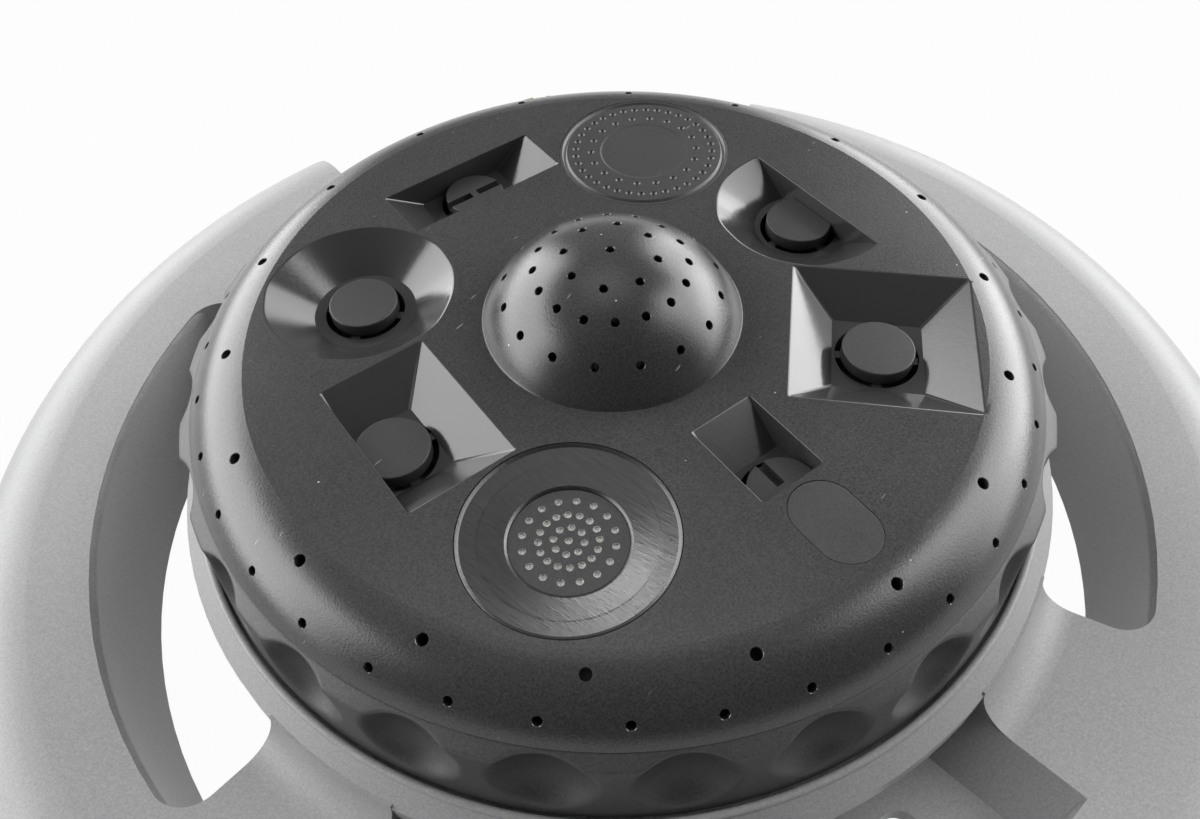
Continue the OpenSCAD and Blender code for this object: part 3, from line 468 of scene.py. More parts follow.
def noise(tree: Tree, coords: Socket, scale: float, detail: float = 2.0, roughness: float = 0.5) -> Socket:
    """Cloudy value about 0.5."""
    values = {"Vector": coords, "Scale": scale, "Detail": detail, "Roughness": roughness}
    return add(tree, "TexNoise", values).outputs["Fac"]


def remap(tree: Tree, value: Socket, source: Point, target: Point, **settings: Any) -> Socket:
    """Value carried over from one span to another."""
    ends = {"From Min": source[0], "From Max": source[1], "To Min": target[0], "To Max": target[1]}
    return add(tree, "MapRange", {**settings, **ends, "Value": value}).outputs["Result"]


def reckon(tree: Tree, operation: str, *terms: Socket | float) -> Socket:
    """Result of one operation on sockets and numbers."""
    return add(tree, "Math", {"operation": operation, **dict(enumerate(terms))}).outputs[0]


def tint(tree: Tree, code: str, level: Socket) -> Socket:
    """Colour of a hex code, made lighter or darker by a level about 1."""
    values = {"data_type": "RGBA", "blend_type": "MULTIPLY", 0: 1.0, 6: srgb(code), 7: level}
    return add(tree, "Mix", values).outputs[2]


def relief(tree: Tree, height: Socket, depth_mm: float, strength: float = 1.0) -> Socket:
    """Normal of a surface whose height follows a pattern."""
    values = {"Strength": strength, "Distance": depth_mm * MM, "Height": height}
    return add(tree, "Bump", values).outputs["Normal"]


def per_metre(size_mm: float) -> float:
    """Scale of a pattern whose features measure size_mm, on coordinates in metres."""
    return 1.0 / (size_mm * MM)


def lying(tree: Tree, coords: Socket, sizes: tuple[float, float, float], angle: float = 0.0) -> Socket:
    """Coordinates for a pattern that lies at an angle on the upper faces.

    Args:
        tree: Node tree of the material.
        coords: Object coordinates in metres.
        sizes: Size of the features in mm along the pattern, across it and upwards.
        angle: Direction of the pattern in degrees, from +X towards +Y.

    Returns:
        Socket with the turned and scaled coordinates.
    """
    turn = {"rotation_type": "Z_AXIS", "Angle": -math.radians(angle), "Vector": coords}
    turned_back = add(tree, "VectorRotate", turn).outputs[0]
    scale = tuple(per_metre(size) for size in sizes)
    return add(tree, "Mapping", {"Scale": scale, "Vector": turned_back}).outputs[0]


# Finishes

MIDDLE = (0.3, 0.7)  # Span that holds nearly all values of a noise


@dataclass(frozen=True)
class Finish:
    """A surface as it is made, with its colour and gloss. A plain one has fine handling marks alone."""

    name: str
    colour: str
    roughness: float
    ior: float = 1.5
    metallic: float = 0.0

    def material(self) -> Material:
        """Builds the material with its shader and its own pattern."""
        material = bpy.data.materials.new(self.name)
        material.use_nodes = True
        material.diffuse_color = srgb(self.colour)
        tree = material.node_tree
        inputs = tree.nodes["Principled BSDF"].inputs
        inputs["Base Color"].default_value = srgb(self.colour)
        inputs["Roughness"].default_value = self.roughness
        inputs["Metallic"].default_value = self.metallic
        inputs["IOR"].default_value = self.ior
        coords = add(tree, "TexCoord", {}).outputs["Object"]
        for name, socket in self.pattern(tree, coords).items():
            tree.links.new(socket, inputs[name])
        return material

    def gloss(self, tree: Tree, value: Socket, low: float, high: float, source: Point = MIDDLE) -> Socket:
        """Roughness that a pattern varies between two shares of the finish's own."""
        return remap(tree, value, source, (self.roughness * low, self.roughness * high))

    def pattern(self, tree: Tree, coords: Socket) -> dict[str, Socket]:
        """Makes the pattern of the finish.

        Args:
            tree: Node tree of the material.
            coords: Object coordinates in metres.

        Returns:
            Sockets under the names of the shader's inputs that they feed.
        """
        marks = noise(tree, coords, per_metre(3.0), 5.0)
        return {"Roughness": self.gloss(tree, marks, 0.85, 1.2, (0.0, 1.0))}


@dataclass(frozen=True)
class GrainedAbs(Finish):
    """ABS moulded in a spark-eroded tool: an even fine grain that scatters the light.

    The real grain is under 0.1 mm. It is drawn at grain_mm, coarse enough to show.
    """

    grain_mm: float = 0.26
    grain_depth_mm: float = 0.024
    mottle: float = 0.42
    dust: float = 1.0
    dust_colour: str = "#b9b9b9"
    gloss_spread: float = 0.02

    def pattern(self, tree: Tree, coords: Socket) -> dict[str, Socket]:
        """Makes grain, mottling, dust and hair scratches."""
        grain = noise(tree, coords, per_metre(self.grain_mm), 2.0, 0.8)
        cloud = noise(tree, coords, per_metre(11.0), 3.0)
        both = reckon(tree, "MULTIPLY_ADD", cloud, 0.12, grain)
        level = remap(tree, both, (0.36, 0.76), (1 - self.mottle, 1 + self.mottle), clamp=False)
        marks = reckon(tree, "MAXIMUM", self.specks(tree, coords), self.scratches(tree, coords))
        amount = reckon(tree, "MULTIPLY", marks, self.dust)
        base = tint(tree, self.colour, level)
        dusty = {"data_type": "RGBA", 0: amount, 6: base, 7: srgb(self.dust_colour)}
        limits = (self.roughness - self.gloss_spread, self.roughness + self.gloss_spread)
        return {
            "Base Color": add(tree, "Mix", dusty).outputs[2],
            "Roughness": remap(tree, cloud, MIDDLE, limits, clamp=False),
            "Normal": relief(tree, grain, self.grain_depth_mm),
        }

    def specks(self, tree: Tree, coords: Socket) -> Socket:
        """Single grains of pale dust, about 0.15 mm wide and a few millimetres apart."""
        cells = add(tree, "TexVoronoi", {"Scale": per_metre(4.5), "Vector": coords}).outputs
        near = remap(tree, cells["Distance"], (0.018, 0.03), (1.0, 0.0))
        draw = add(tree, "SeparateColor", {"Color": cells["Color"]}).outputs["Red"]
        return reckon(tree, "MULTIPLY", near, reckon(tree, "GREATER_THAN", draw, 0.45))

    def scratches(self, tree: Tree, coords: Socket) -> Socket:
        """Short hair scratches, a few millimetres long and far apart."""
        slanted = lying(tree, coords, (9.0, 0.9, 4.0), 38.0)
        cells = add(tree, "TexVoronoi", {"Scale": 1.0, "Vector": slanted}).outputs
        near = remap(tree, cells["Distance"], (0.05, 0.09), (0.55, 0.0))
        draw = noise(tree, slanted, 1.3, 1.0)
        return reckon(tree, "MULTIPLY", near, reckon(tree, "GREATER_THAN", draw, 0.6))


@dataclass(frozen=True)
class PolishedAbs(Finish):
    """ABS moulded against a polished tool, with the tool's faint draw lines up its walls."""

    line_mm: float = 0.5
    line_length_mm: float = 9.0

    def pattern(self, tree: Tree, coords: Socket) -> dict[str, Socket]:
        """Makes upright draw lines in gloss and height."""
        upright = lying(tree, coords, (self.line_mm, self.line_mm, self.line_length_mm))
        lines = noise(tree, upright, 1.0, 4.0)
        return {"Roughness": self.gloss(tree, lines, 0.8, 1.3), "Normal": relief(tree, lines, 0.03, 0.25)}


@dataclass(frozen=True)
class BrushedAbs(Finish):
    """ABS from a tool finished with stone strokes in one direction, which catch the light in a streak."""

    stroke_mm: float = 0.3
    stroke_length_mm: float = 5.0
    stroke_angle: float = -49.0

    def pattern(self, tree: Tree, coords: Socket) -> dict[str, Socket]:
        """Makes the strokes in colour, gloss and height."""
        sizes = (self.stroke_length_mm, self.stroke_mm, self.stroke_mm)
        strokes = noise(tree, lying(tree, coords, sizes, self.stroke_angle), 1.0, 4.0, 0.6)
        level = remap(tree, strokes, MIDDLE, (0.75, 1.25), clamp=False)
        return {
            "Base Color": tint(tree, self.colour, level),
            "Roughness": self.gloss(tree, strokes, 0.9, 1.12),
            "Normal": relief(tree, strokes, 0.032),
        }


@dataclass(frozen=True)
class PowderCoat(Finish):
    """Satin powder coat over a die casting: a fine speckle of lighter and darker grains, slightly pebbled."""

    speck_mm: float = 0.3
    pebble_mm: float = 0.9

    def pattern(self, tree: Tree, coords: Socket) -> dict[str, Socket]:
        """Makes speckle, clouding and pebbling."""
        specks = noise(tree, coords, per_metre(self.speck_mm), 2.0, 0.7)
        cloud = noise(tree, coords, per_metre(30.0), 3.0)
        both = reckon(tree, "MULTIPLY_ADD", cloud, 0.3, specks)
        level = remap(tree, both, (0.35, 0.95), (0.78, 1.22))
        pebbles = noise(tree, coords, per_metre(self.pebble_mm))
        return {"Base Color": tint(tree, self.colour, level), "Normal": relief(tree, pebbles, 0.02, 0.3)}


@dataclass(frozen=True)
class TurnedMetal(Finish):
    """Metal turned on a lathe, with fine feed lines across its axis."""

    feed_mm: float = 0.35

    def pattern(self, tree: Tree, coords: Socket) -> dict[str, Socket]:
        """Makes the feed lines along the hose axis, and a little tarnish."""
        scale = per_metre(self.feed_mm) / 20.0  # The texture counts twenty to its own unit
        bands = {"bands_direction": "Y", "Scale": scale, "Distortion": 0.6, "Vector": coords}
        lines = add(tree, "TexWave", bands).outputs["Fac"]
        cloud = noise(tree, coords, per_metre(5.0), 5.0)
        return {"Roughness": self.gloss(tree, cloud, 0.8, 1.5), "Normal": relief(tree, lines, 0.02, 0.2)}


def made(finish: Finish) -> Any:
    """Field of the palette that holds the material of a finish."""
    return field(default_factory=finish.material)


@dataclass
class Palette:
    """The finishes of the sprinkler, made once."""

    # Satin charcoal plastic: a broad soft sheen that the grain breaks into fine bright points
    turret: Material = made(GrainedAbs("abs_grained_charcoal", "#363637", 0.21, 1.53))
    # The same plastic off a polished tool: clear reflections that make each sloping wall one tone
    walls: Material = made(PolishedAbs("abs_polished_charcoal", "#353536", 0.14, 1.53))
    # Duller plastic of nozzle heads and inserts: an even dark grey with no highlight of its own
    insert: Material = made(
        GrainedAbs("abs_fine_dark", "#343435", 0.36, 1.53, grain_mm=0.28, grain_depth_mm=0.02, mottle=0.3)
    )
    # Plastic of the grip, rubbed by hands: matt, so that its dents show by shading alone
    grip: Material = made(GrainedAbs("abs_grained_grip", "#3d3d3e", 0.5, 1.53, dust=0.0))
    # Stroked plastic of the shower dish: a bright streak across fine slanting lines
    dish: Material = made(BrushedAbs("abs_stroked_dark", "#262627", 0.23, 1.53))
    # Pale walls and bottoms of the shower holes: a painted glint, pale dots where light shows in the holes
    painted_hole_glint: Material = made(
        GrainedAbs("painted_glint_pale", "#b4b4b1", 0.6, grain_mm=0.25, mottle=0.5, dust=0.0)
    )
    # Powder coat of the base: light grey with a salt-and-pepper speckle and a dull sheen
    coat: Material = made(PowderCoat("powder_coat_grey", "#969697", 0.42, 1.4))
    # Brass of tail and coupling: a warm metal gleam drawn out round the axis
    brass: Material = made(TurnedMetal("brass_turned", "#c9ab66", 0.3, metallic=1.0))
    # Zinc-plated steel of screw, springs and screen: a cool, slightly cloudy gleam
    steel: Material = made(Finish("steel_zinc_plated", "#b9bbbf", 0.3, metallic=1.0))
    # Nitrile rubber of the seals: nearly black, without a reflection
    rubber: Material = made(Finish("rubber_nitrile", "#1d1d1e", 0.6, 1.52))
    # Natural acetal of the sliding parts: waxy off-white
    acetal: Material = made(Finish("acetal_natural", "#e2e1da", 0.4, 1.48))


# The turret


@dataclass
class Well:
    """Tool of a walled pocket: an outline that grows upwards along sloping walls and flares at the rim.

    The flare leaves the rounded edge of a moulding where the walls meet the flat face.
    """

    station: Station
    floor_z: float = 45.9
    top_z: float = FACE_Z
    slope: float = 5.8 / 4.1
    rim: float = 0.13
    rim_steps: int = 4

    def levels(self) -> list[Point]:
        """Heights of the rings, each with the width of the flare there."""
        result = [(self.floor_z, 0.0)]
        for i in range(self.rim_steps + 1):
            a = math.pi / 2 * i / self.rim_steps
            result.append((self.top_z - self.rim * (1 - math.sin(a)), self.rim * (1 - math.cos(a))))
        return result + [(self.top_z + 0.004, self.rim), (self.top_z + 1.0, self.rim)]

    def ring(self, rise: float, flare: float) -> Profile:
        """Outline at one height, given how far the sloping walls have run out and how wide the flare is."""
        raise NotImplementedError

    def tool(self) -> Mesh:
        """Skin of the tool, turned to its station."""
        rings = []
        for height, flare in self.levels():
            rise = self.slope * (min(height, self.top_z) - self.floor_z)
            rings.append([Vector((x, y, height)) for x, y in self.ring(rise, flare)])
        return turned(loft(rings, Surface.POLISHED), self.station.value)


@dataclass
class RoundWell(Well):
    """Pocket like a funnel, which a plane may cut off on its outer side."""

    x: float = STATION_R
    floor_r: float = 7.0
    wall_x: float | None = None
    points: int = 144
    ripples: Rows = ((5, 0.07, 0.4), (9, 0.06, 2.1), (14, 0.03, 1.0))

    def ripple(self, angle: float) -> float:
        """Waviness that the polishing of the tool left round the funnel, in millimetres."""
        return sum(height * math.sin(count * angle + phase) for count, height, phase in self.ripples)

    def ring(self, rise: float, flare: float) -> Profile:
        """Circle, or the part of it on this side of the wall."""
        r = self.floor_r + rise + flare
        start, step = 0.0, math.tau / self.points
        if self.wall_x is not None:
            start = math.acos((self.wall_x + flare - self.x) / r)
            step = (math.tau - 2 * start) / (self.points - 1)
        result = []
        for i in range(self.points):
            angle = start + step * i
            out = r + self.ripple(angle) * min(1.0, rise / self.slope)
            result.append((self.x + out * math.cos(angle), out * math.sin(angle)))
        return result


@dataclass
class SquareWell(Well):
    """Pocket with four walls, each of which is upright or slopes."""

    span: Point = (29.1, 40.9)
    half_y: float = 5.9
    inner_slopes: bool = True
    outer_slopes: bool = True
    sides_slope: bool = True
    corner: float = 0.35
    corner_steps: int = 4

    def ring(self, rise: float, flare: float) -> Profile:
        """Rectangle with small rounded corners."""
        low = self.span[0] - rise * self.inner_slopes - flare
        high = self.span[1] + rise * self.outer_slopes + flare
        half = self.half_y + rise * self.sides_slope + flare
        r = self.corner + flare
        right, left, back, front = high - r, low + r, half - r, r - half
        centres = enumerate(((right, back), (left, back), (left, front), (right, front)))
        return [
            point
            for quarter, centre in centres
            for point in arc(centre, r, 90 * quarter, 90 * quarter + 90, self.corner_steps)
        ]


def oval(length: float, width: float, bottom: float, top: float) -> Mesh:
    """Upright prism with round ends, where the inlay lies."""
    mesh = cone(width / 2, width / 2, bottom, top, INLAY_R, 64)
    for vert in mesh.verts:
        vert.co.x += math.copysign((length - width) / 2, vert.co.x - INLAY_R)
    return mesh


@dataclass
class TurretCap:
    """Top of the turret: flat face, rounded rim, dome, jets and the walled pockets.

    It is one thick body with blind jets, since nothing shows behind them.
    """

    palette: Palette
    top_z: float = FACE_Z
    flat_r: float = 48.0
    rim_mid_r: float = 46.3
    rim_arc: float = 11.5
    parting_z: float = 43.9
    inside_r: float = 52.8
    inside_z: float = 36.4
    well_r: float = 17.4
    skin: float = 2.4
    dome_r: float = 17.1
    dome_h: float = 10.9
    pocket_depth: float = 4.1
    foot_round: float = 0.12
    lip_round: float = 0.2
    recess_depth: float = 2.4
    mist_r: float = 12.85
    shower_r: float = 12.75
    inlay_size: tuple[float, float, float] = (11.8, 8.2, 1.2)
    clear: float = 1.0  # How far a tool stands above the face
    seat_z: float = 39.5
    seat_gap: float = 0.75
    steps: int = 288
    # Rows of jets: count, tilt from the vertical and first angle in degrees, diameter, depth
    rim_rows: tuple[tuple[float, ...], ...] = ((18, 21.4, -5.0, 1.4, 4.0), (36, 46.9, 0.0, 1.1, 3.0))
    dome_rows: tuple[tuple[float, ...], ...] = (
        (1, 0.0, 0.0, 1.1, 4.0), (8, 18.4, 0.0, 1.1, 4.0),
        (16, 31.5, 11.25, 1.1, 4.0), (16, 48.2, 0.0, 1.1, 4.0),
    )

    @property
    def rim_mid_z(self) -> float:
        """Height of the centre of the rim arc."""
        return self.top_z - math.sqrt(self.rim_arc**2 - (self.flat_r - self.rim_mid_r) ** 2)

    @property
    def dome_ball_r(self) -> float:
        """Radius of the ball that the dome is part of."""
        return (self.dome_r**2 + self.dome_h**2) / (2 * self.dome_h)

    @property
    def dome_ball_z(self) -> float:
        """Height of the centre of that ball."""
        return self.top_z + self.dome_h - self.dome_ball_r

    def outline(self) -> Profile:
        """Half section of the cap, from the tip of the dome round to its inside."""
        ball = (0.0, self.dome_ball_z)
        foot = math.degrees(math.acos(self.dome_r / self.dome_ball_r))
        dome = arc(ball, self.dome_ball_r, 90.0, foot + 1.2, 22)
        rim = (self.rim_mid_r, self.rim_mid_z)
        start = math.degrees(math.atan2(self.top_z - rim[1], self.flat_r - rim[0]))
        end = math.degrees(math.asin((self.parting_z - rim[1]) / self.rim_arc))
        edge = arc(rim, self.rim_arc, start, end + 1.0, 18)
        foot_corner = [dome[-1], (self.dome_r, self.top_z), (self.dome_r + 1.2, self.top_z)]
        foot_curve = rounded(foot_corner, self.foot_round, 2)
        parting = (rim[0] + self.rim_arc * math.cos(math.radians(end)), self.parting_z)
        lip = rounded([edge[-1], parting, (self.inside_r + 2.0, self.parting_z)], self.lip_round, 3)
        inner_r = self.dome_ball_r - self.skin
        rise = math.degrees(math.asin((self.top_z - self.skin - ball[1]) / inner_r))
        hollow = arc(ball, inner_r, rise, 90.0, 14)
        inside = [(self.inside_r, self.parting_z), (self.inside_r, self.inside_z), (self.well_r, self.inside_z)]
        return dome[:-1] + foot_curve + edge + lip[1:] + inside + hollow

    def wells(self) -> list[Well]:
        """The six nozzle pockets."""
        return [
            SquareWell(Station.SQUARE),
            RoundWell(Station.ROUND),
            RoundWell(Station.HALF_ROUND, floor_r=6.7, wall_x=36.9),
            SquareWell(Station.STRIP, span=(30.0, 39.2), half_y=6.7, inner_slopes=False, outer_slopes=False),
            SquareWell(Station.RECTANGLE, span=(28.3, 37.2), half_y=5.4, outer_slopes=False),
            SquareWell(Station.SLOT, span=(27.55, 34.5), half_y=4.6, outer_slopes=False, sides_slope=False),
        ]

    def recesses(self) -> Mesh:
        """Tools of the recesses that hold the inserts."""
        top, low = self.top_z + self.clear, self.top_z - self.recess_depth
        length, width, depth = self.inlay_size
        return join(
            turned(cone(self.mist_r, self.mist_r, low, top, STATION_R, 128), Station.MIST.value),
            turned(cone(self.shower_r, self.shower_r, low, top, STATION_R, 128), Station.SHOWER.value),
            turned(oval(length, width, self.top_z - depth, top), Station.SLOT.value),
        )

    def seats(self) -> Mesh:
        """Tools of the round holes under the nozzle heads."""
        floor = self.top_z - self.pocket_depth + 0.5
        return join(
            *[
                turned(cone(r, r, self.seat_z, floor, nozzle.x, 64), nozzle.station.value)
                for nozzle in nozzles(self.palette)
                for r in [nozzle.head_r + self.seat_gap]
            ]
        )

    def jet(self, ball: Point, radius: float, tilt: float, turn: float, diameter: float, depth: float) -> Mesh:
        """Tool of one jet, square to the surface.

        Args:
            ball: Centre of the surface's curve, as radius and height.
            radius: Radius of that curve.
            tilt: Angle of the jet from the vertical, in degrees.
            turn: Angle round the turret, in degrees.
            diameter: Diameter of the jet.
            depth: Depth of the hole.

        Returns:
            A closed cylinder that widens at its mouth and reaches past the surface.
        """
        r, mouth = diameter / 2, 0.1
        side = [(0.0, -depth), (r, -depth), (r, -mouth), (r + mouth, 0.02), (r + mouth, 1.0), (0.0, 1.0)]
        mesh = revolve(side, 16, Surface.POLISHED, closed=False)
        centre, outwards = Matrix.Translation((ball[0], 0, ball[1])), Matrix.Translation((0, 0, radius))
        lean = Matrix.Rotation(math.radians(tilt), 4, "Y")
        bmesh.ops.transform(mesh, verts=mesh.verts, matrix=centre @ lean @ outwards)
        return turned(mesh, turn)

    def jets(self) -> Mesh:
        """Tools of the dome's jets and of the two rows on the rim."""
        rim = ((self.rim_mid_r, self.rim_mid_z), self.rim_arc, self.rim_rows)
        dome = ((0.0, self.dome_ball_z), self.dome_ball_r, self.dome_rows)
        return join(
            *[
                self.jet(ball, radius, tilt, phase + 360 / count * k, diameter, depth)
                for ball, radius, rows in (rim, dome)
                for count, tilt, phase, diameter, depth in rows
                for k in range(count)
            ]
        )

    def is_crease(self, point: Vector) -> bool:
        """Whether a point lies on the line where the flat face turns into the rim."""
        return abs(point.z - self.top_z) < 0.01 and abs(point.xy.length - self.flat_r) < 0.02

    def build(self) -> Object:
        """Models the cap and returns it as a piece."""
        body = revolve(self.outline(), self.steps, closed=False)
        for well in self.wells():
            body = work(body, well.tool(), Cut.AWAY)
        merge_flats(body)
        for tool in (self.recesses(), self.seats(), self.jets()):
            body = work(body, tool, Cut.AWAY)
        turned(body, TURRET_TURN)
        piece = shape("turret_cap", body, [self.palette.turret, self.palette.walls], 28.0, self.is_crease)
        return place(piece, "turret", "turret_plastic", "turret_shell")


@dataclass
class GripRing:
    """Ring under the rim, with closed round dents for the fingers.

    Each dent is the mark of a ball, and its edge is rounded where it runs out into the wall.
    """

    palette: Palette
    top_z: float = 43.85
    parting_r: float = 56.45
    shoulder_r: float = 58.3
    shoulder_z: float = 42.6
    foot_r: float = 58.6
    foot_z: float = 29.4
    inner_r: float = 52.85
    ledge_r: float = 46.7
    ledge_top: float = 33.2
    dents: int = 24
    ball_r: float = 7.6
    ball_at_r: float = 62.7
    ball_z: float = 38.6
    phase: float = 0.6
    edge: float = 0.6
    row: float = 0.34
    steps_a_dent: int = 42
    foot_edge: float = 0.6
    corner_round: float = 0.4

    def profile(self) -> Profile:
        """Section of the ring: a short slope under the parting line, a shoulder and a nearly upright wall."""
        corners = [
            (self.parting_r - 0.6, self.top_z), (self.parting_r, self.top_z),
            (self.shoulder_r, self.shoulder_z), (self.foot_r, self.foot_z + self.foot_edge),
            (self.foot_r - self.foot_edge, self.foot_z),
        ]
        wall = rounded(corners, self.corner_round, 4)
        inside = [
            (self.ledge_r, self.foot_z), (self.ledge_r, self.ledge_top),
            (self.inner_r, self.ledge_top), (self.inner_r, self.top_z),
        ]
        return divided(wall, self.row) + inside

    def dent(self, vert: bmesh.types.BMVert) -> None:
        """Moves a point of the outer wall inwards where a ball has marked it."""
        r = math.hypot(vert.co.x, vert.co.y)
        pitch = math.tau / self.dents
        turn = math.atan2(vert.co.y, vert.co.x) - math.radians(self.phase)
        off = turn - pitch * round(turn / pitch)
        reach = self.ball_r**2 - (vert.co.z - self.ball_z) ** 2 - (self.ball_at_r * math.sin(off)) ** 2
        if reach <= 0.0:
            return
        mark = self.ball_at_r * math.cos(off) - math.sqrt(reach)
        near = max(self.edge - abs(r - mark), 0.0) / self.edge
        size = (min(r, mark) - near**2 * self.edge / 4) / r
        vert.co.x, vert.co.y = vert.co.x * size, vert.co.y * size

    def build(self) -> Object:
        """Models the ring and returns it as a piece."""
        mesh = revolve(self.profile(), self.dents * self.steps_a_dent)
        for vert in mesh.verts:
            if vert.co.xy.length > self.parting_r - 0.3 and self.foot_z < vert.co.z < self.top_z:
                self.dent(vert)
        turned(mesh, TURRET_TURN)
        return place(shape("grip_band", mesh, [self.palette.grip]), "turret", "turret_plastic", "grip_ring")


@dataclass
class Nozzle:
    """One nozzle: a flat head on a ribbed stem, with a flat where a pocket wall cuts it and perhaps a slot."""

    palette: Palette
    name: str
    station: Station
    x: float
    head_r: float = 4.7
    wall_x: float | None = None
    slot_along: str | None = None
    top_z: float = 47.6
    head_t: float = 1.9
    foot_z: float = 43.7
    stem_r: float = 2.6
    rib_t: float = 1.2
    slot_w: float = 1.2
    gap: float = 0.7
    edge_round: float = 0.22
    wall_gap: float = 0.08
    half_bridge: float = 0.5
    slot_depth: float = 0.6  # As a share of the head's thickness

    def head(self) -> Mesh:
        """The disc, with its top edge rounded and its wall side cut flat."""
        low, r = self.top_z - self.head_t, self.head_r
        side = rounded([(0.0, low), (r, low), (r, self.top_z), (0.0, self.top_z)], self.edge_round, 3)
        mesh = revolve(side, 72, closed=False)
        bmesh.ops.translate(mesh, verts=mesh.verts, vec=(self.x, 0, 0))
        if self.wall_x is not None:
            clip(mesh, (self.wall_x - self.wall_gap, 0, 0), (1, 0, 0))
        if self.slot_along is not None:
            mesh = work(mesh, self.slot(), Cut.AWAY)
        return mesh

    def slot(self) -> Mesh:
        """Tool of the slot, which leaves a bridge in the middle."""
        z = (self.top_z - self.head_t * self.slot_depth, self.top_z + 1)
        reach, bridge = 2 * self.head_r, self.half_bridge
        mesh = join(*[block(span, self.slot_w / 2, z) for span in ((-reach, -bridge), (bridge, reach))])
        if self.slot_along == "across":
            turned(mesh, 90)
        bmesh.ops.translate(mesh, verts=mesh.verts, vec=(self.x, 0, 0))
        return mesh

    def stem(self) -> Mesh:
        """The stem and the four ribs that centre it in its seat."""
        under = self.top_z - self.head_t + 0.2
        reach = self.head_r + self.gap
        parts = [cone(self.stem_r, self.stem_r, self.foot_z, under, 0.0, 40)]
        for angle in (0, 90):
            parts.append(turned(block((-reach, reach), self.rib_t / 2, (self.foot_z, under - 0.3)), angle))
        mesh = parts[0]
        for rib in parts[1:]:
            mesh = work(mesh, rib, Cut.ON)
        bmesh.ops.translate(mesh, verts=mesh.verts, vec=(self.x, 0, 0))
        return mesh

    def build(self) -> Object:
        """Models the nozzle and returns it as a piece."""
        mesh = join(self.head(), self.stem())
        stand(mesh, self.station)
        piece = shape(f"{self.name}_head", mesh, [self.palette.insert, self.palette.walls])
        return place(piece, "turret", "turret_plastic", self.name)


def nozzles(palette: Palette) -> list[Nozzle]:
    """The six nozzles, each where its pocket is. The seats in the cap take their places from here."""
    return [
        Nozzle(palette, "nozzle_square", Station.SQUARE, 34.9),
        Nozzle(palette, "nozzle_half_round", Station.HALF_ROUND, 34.0, wall_x=36.9),
        Nozzle(palette, "nozzle_strip", Station.STRIP, 34.6, head_r=4.4, slot_along="across"),
        Nozzle(palette, "nozzle_round", Station.ROUND, 34.6),
        Nozzle(palette, "nozzle_rectangle", Station.RECTANGLE, 33.5, wall_x=37.2),
        Nozzle(palette, "nozzle_slot", Station.SLOT, 33.3, head_r=4.4, wall_x=34.5, slot_along="radial"),
    ]


@dataclass
class ShowerStation:
    """Shallow stroked dish round a disc with circles of holes."""

    palette: Palette
    x: float = STATION_R
    rim_r: float = 12.7
    top_z: float = FACE_Z
    thickness: float = 2.4
    lip_w: float = 0.5
    lip_drop: float = 0.3
    plate_r: float = 6.9
    drop: float = 1.1
    plate_step: float = 0.3
    hole_r: float = 0.44
    hole_depth: float = 0.28

    ring_r: float = 10.3
    plate_t: float = 0.7
    hole_rows: Rows = ((1, 0.0, 0.0), (8, 1.77, 0.0), (16, 3.45, 11.25), (16, 5.33, 0.0))

    def dish(self) -> Object:
        """The dish, with its lip, its faint ring and the step down to the plate."""
        low, bowl = self.top_z - self.thickness, self.top_z - self.drop
        step, bore_r = bowl - self.plate_step, self.plate_r + 0.02
        lip_r = self.rim_r - self.lip_w
        slope = (self.drop - self.lip_drop) / (lip_r - self.plate_r)
        ring_z = self.top_z - self.lip_drop - slope * (lip_r - self.ring_r)
        corners = [
            (self.plate_r - 1.0, step - self.plate_t), (bore_r, step - self.plate_t), (bore_r, step + 0.02),
            (self.plate_r + 0.35, bowl),
            (self.ring_r - 0.12, ring_z - 0.03), (self.ring_r + 0.12, ring_z + 0.03),
            (lip_r, self.top_z - self.lip_drop),
            (self.rim_r - 0.12, self.top_z), (self.rim_r, self.top_z - 0.12),
            (self.rim_r, low), (self.plate_r - 1.0, low),
        ]
        mesh = stand(revolve(rounded(corners, 0.05, 2), 160), Station.SHOWER, self.x)
        return place(shape("shower_bowl", mesh, [self.palette.dish]), "turret", "insert_plastic", "shower_dish")

    def plate(self) -> Object:
        """The disc. Its holes are painted pale inside, a painted glint of the light that shows in them."""
        top = self.top_z - self.drop - self.plate_step
        low = top - self.plate_t
        edge = rounded([(0.0, low), (self.plate_r, low), (self.plate_r, top), (0.0, top)], 0.12, 2)
        depth = top - self.hole_depth
        holes = circles(self.hole_rows, lambda r: cone(self.hole_r, self.hole_r, depth, top + 1, r, 18))
        body = work(revolve(edge, 96, closed=False), join(*holes), Cut.AWAY)
        stand(body, Station.SHOWER, self.x)
        # Slot 1 holds the walls and bottoms of the holes, painted pale as a glint of light
        piece = shape("shower_rose", body, [self.palette.insert, self.palette.painted_hole_glint])
        return place(piece, "turret", "insert_plastic", "shower_plate")


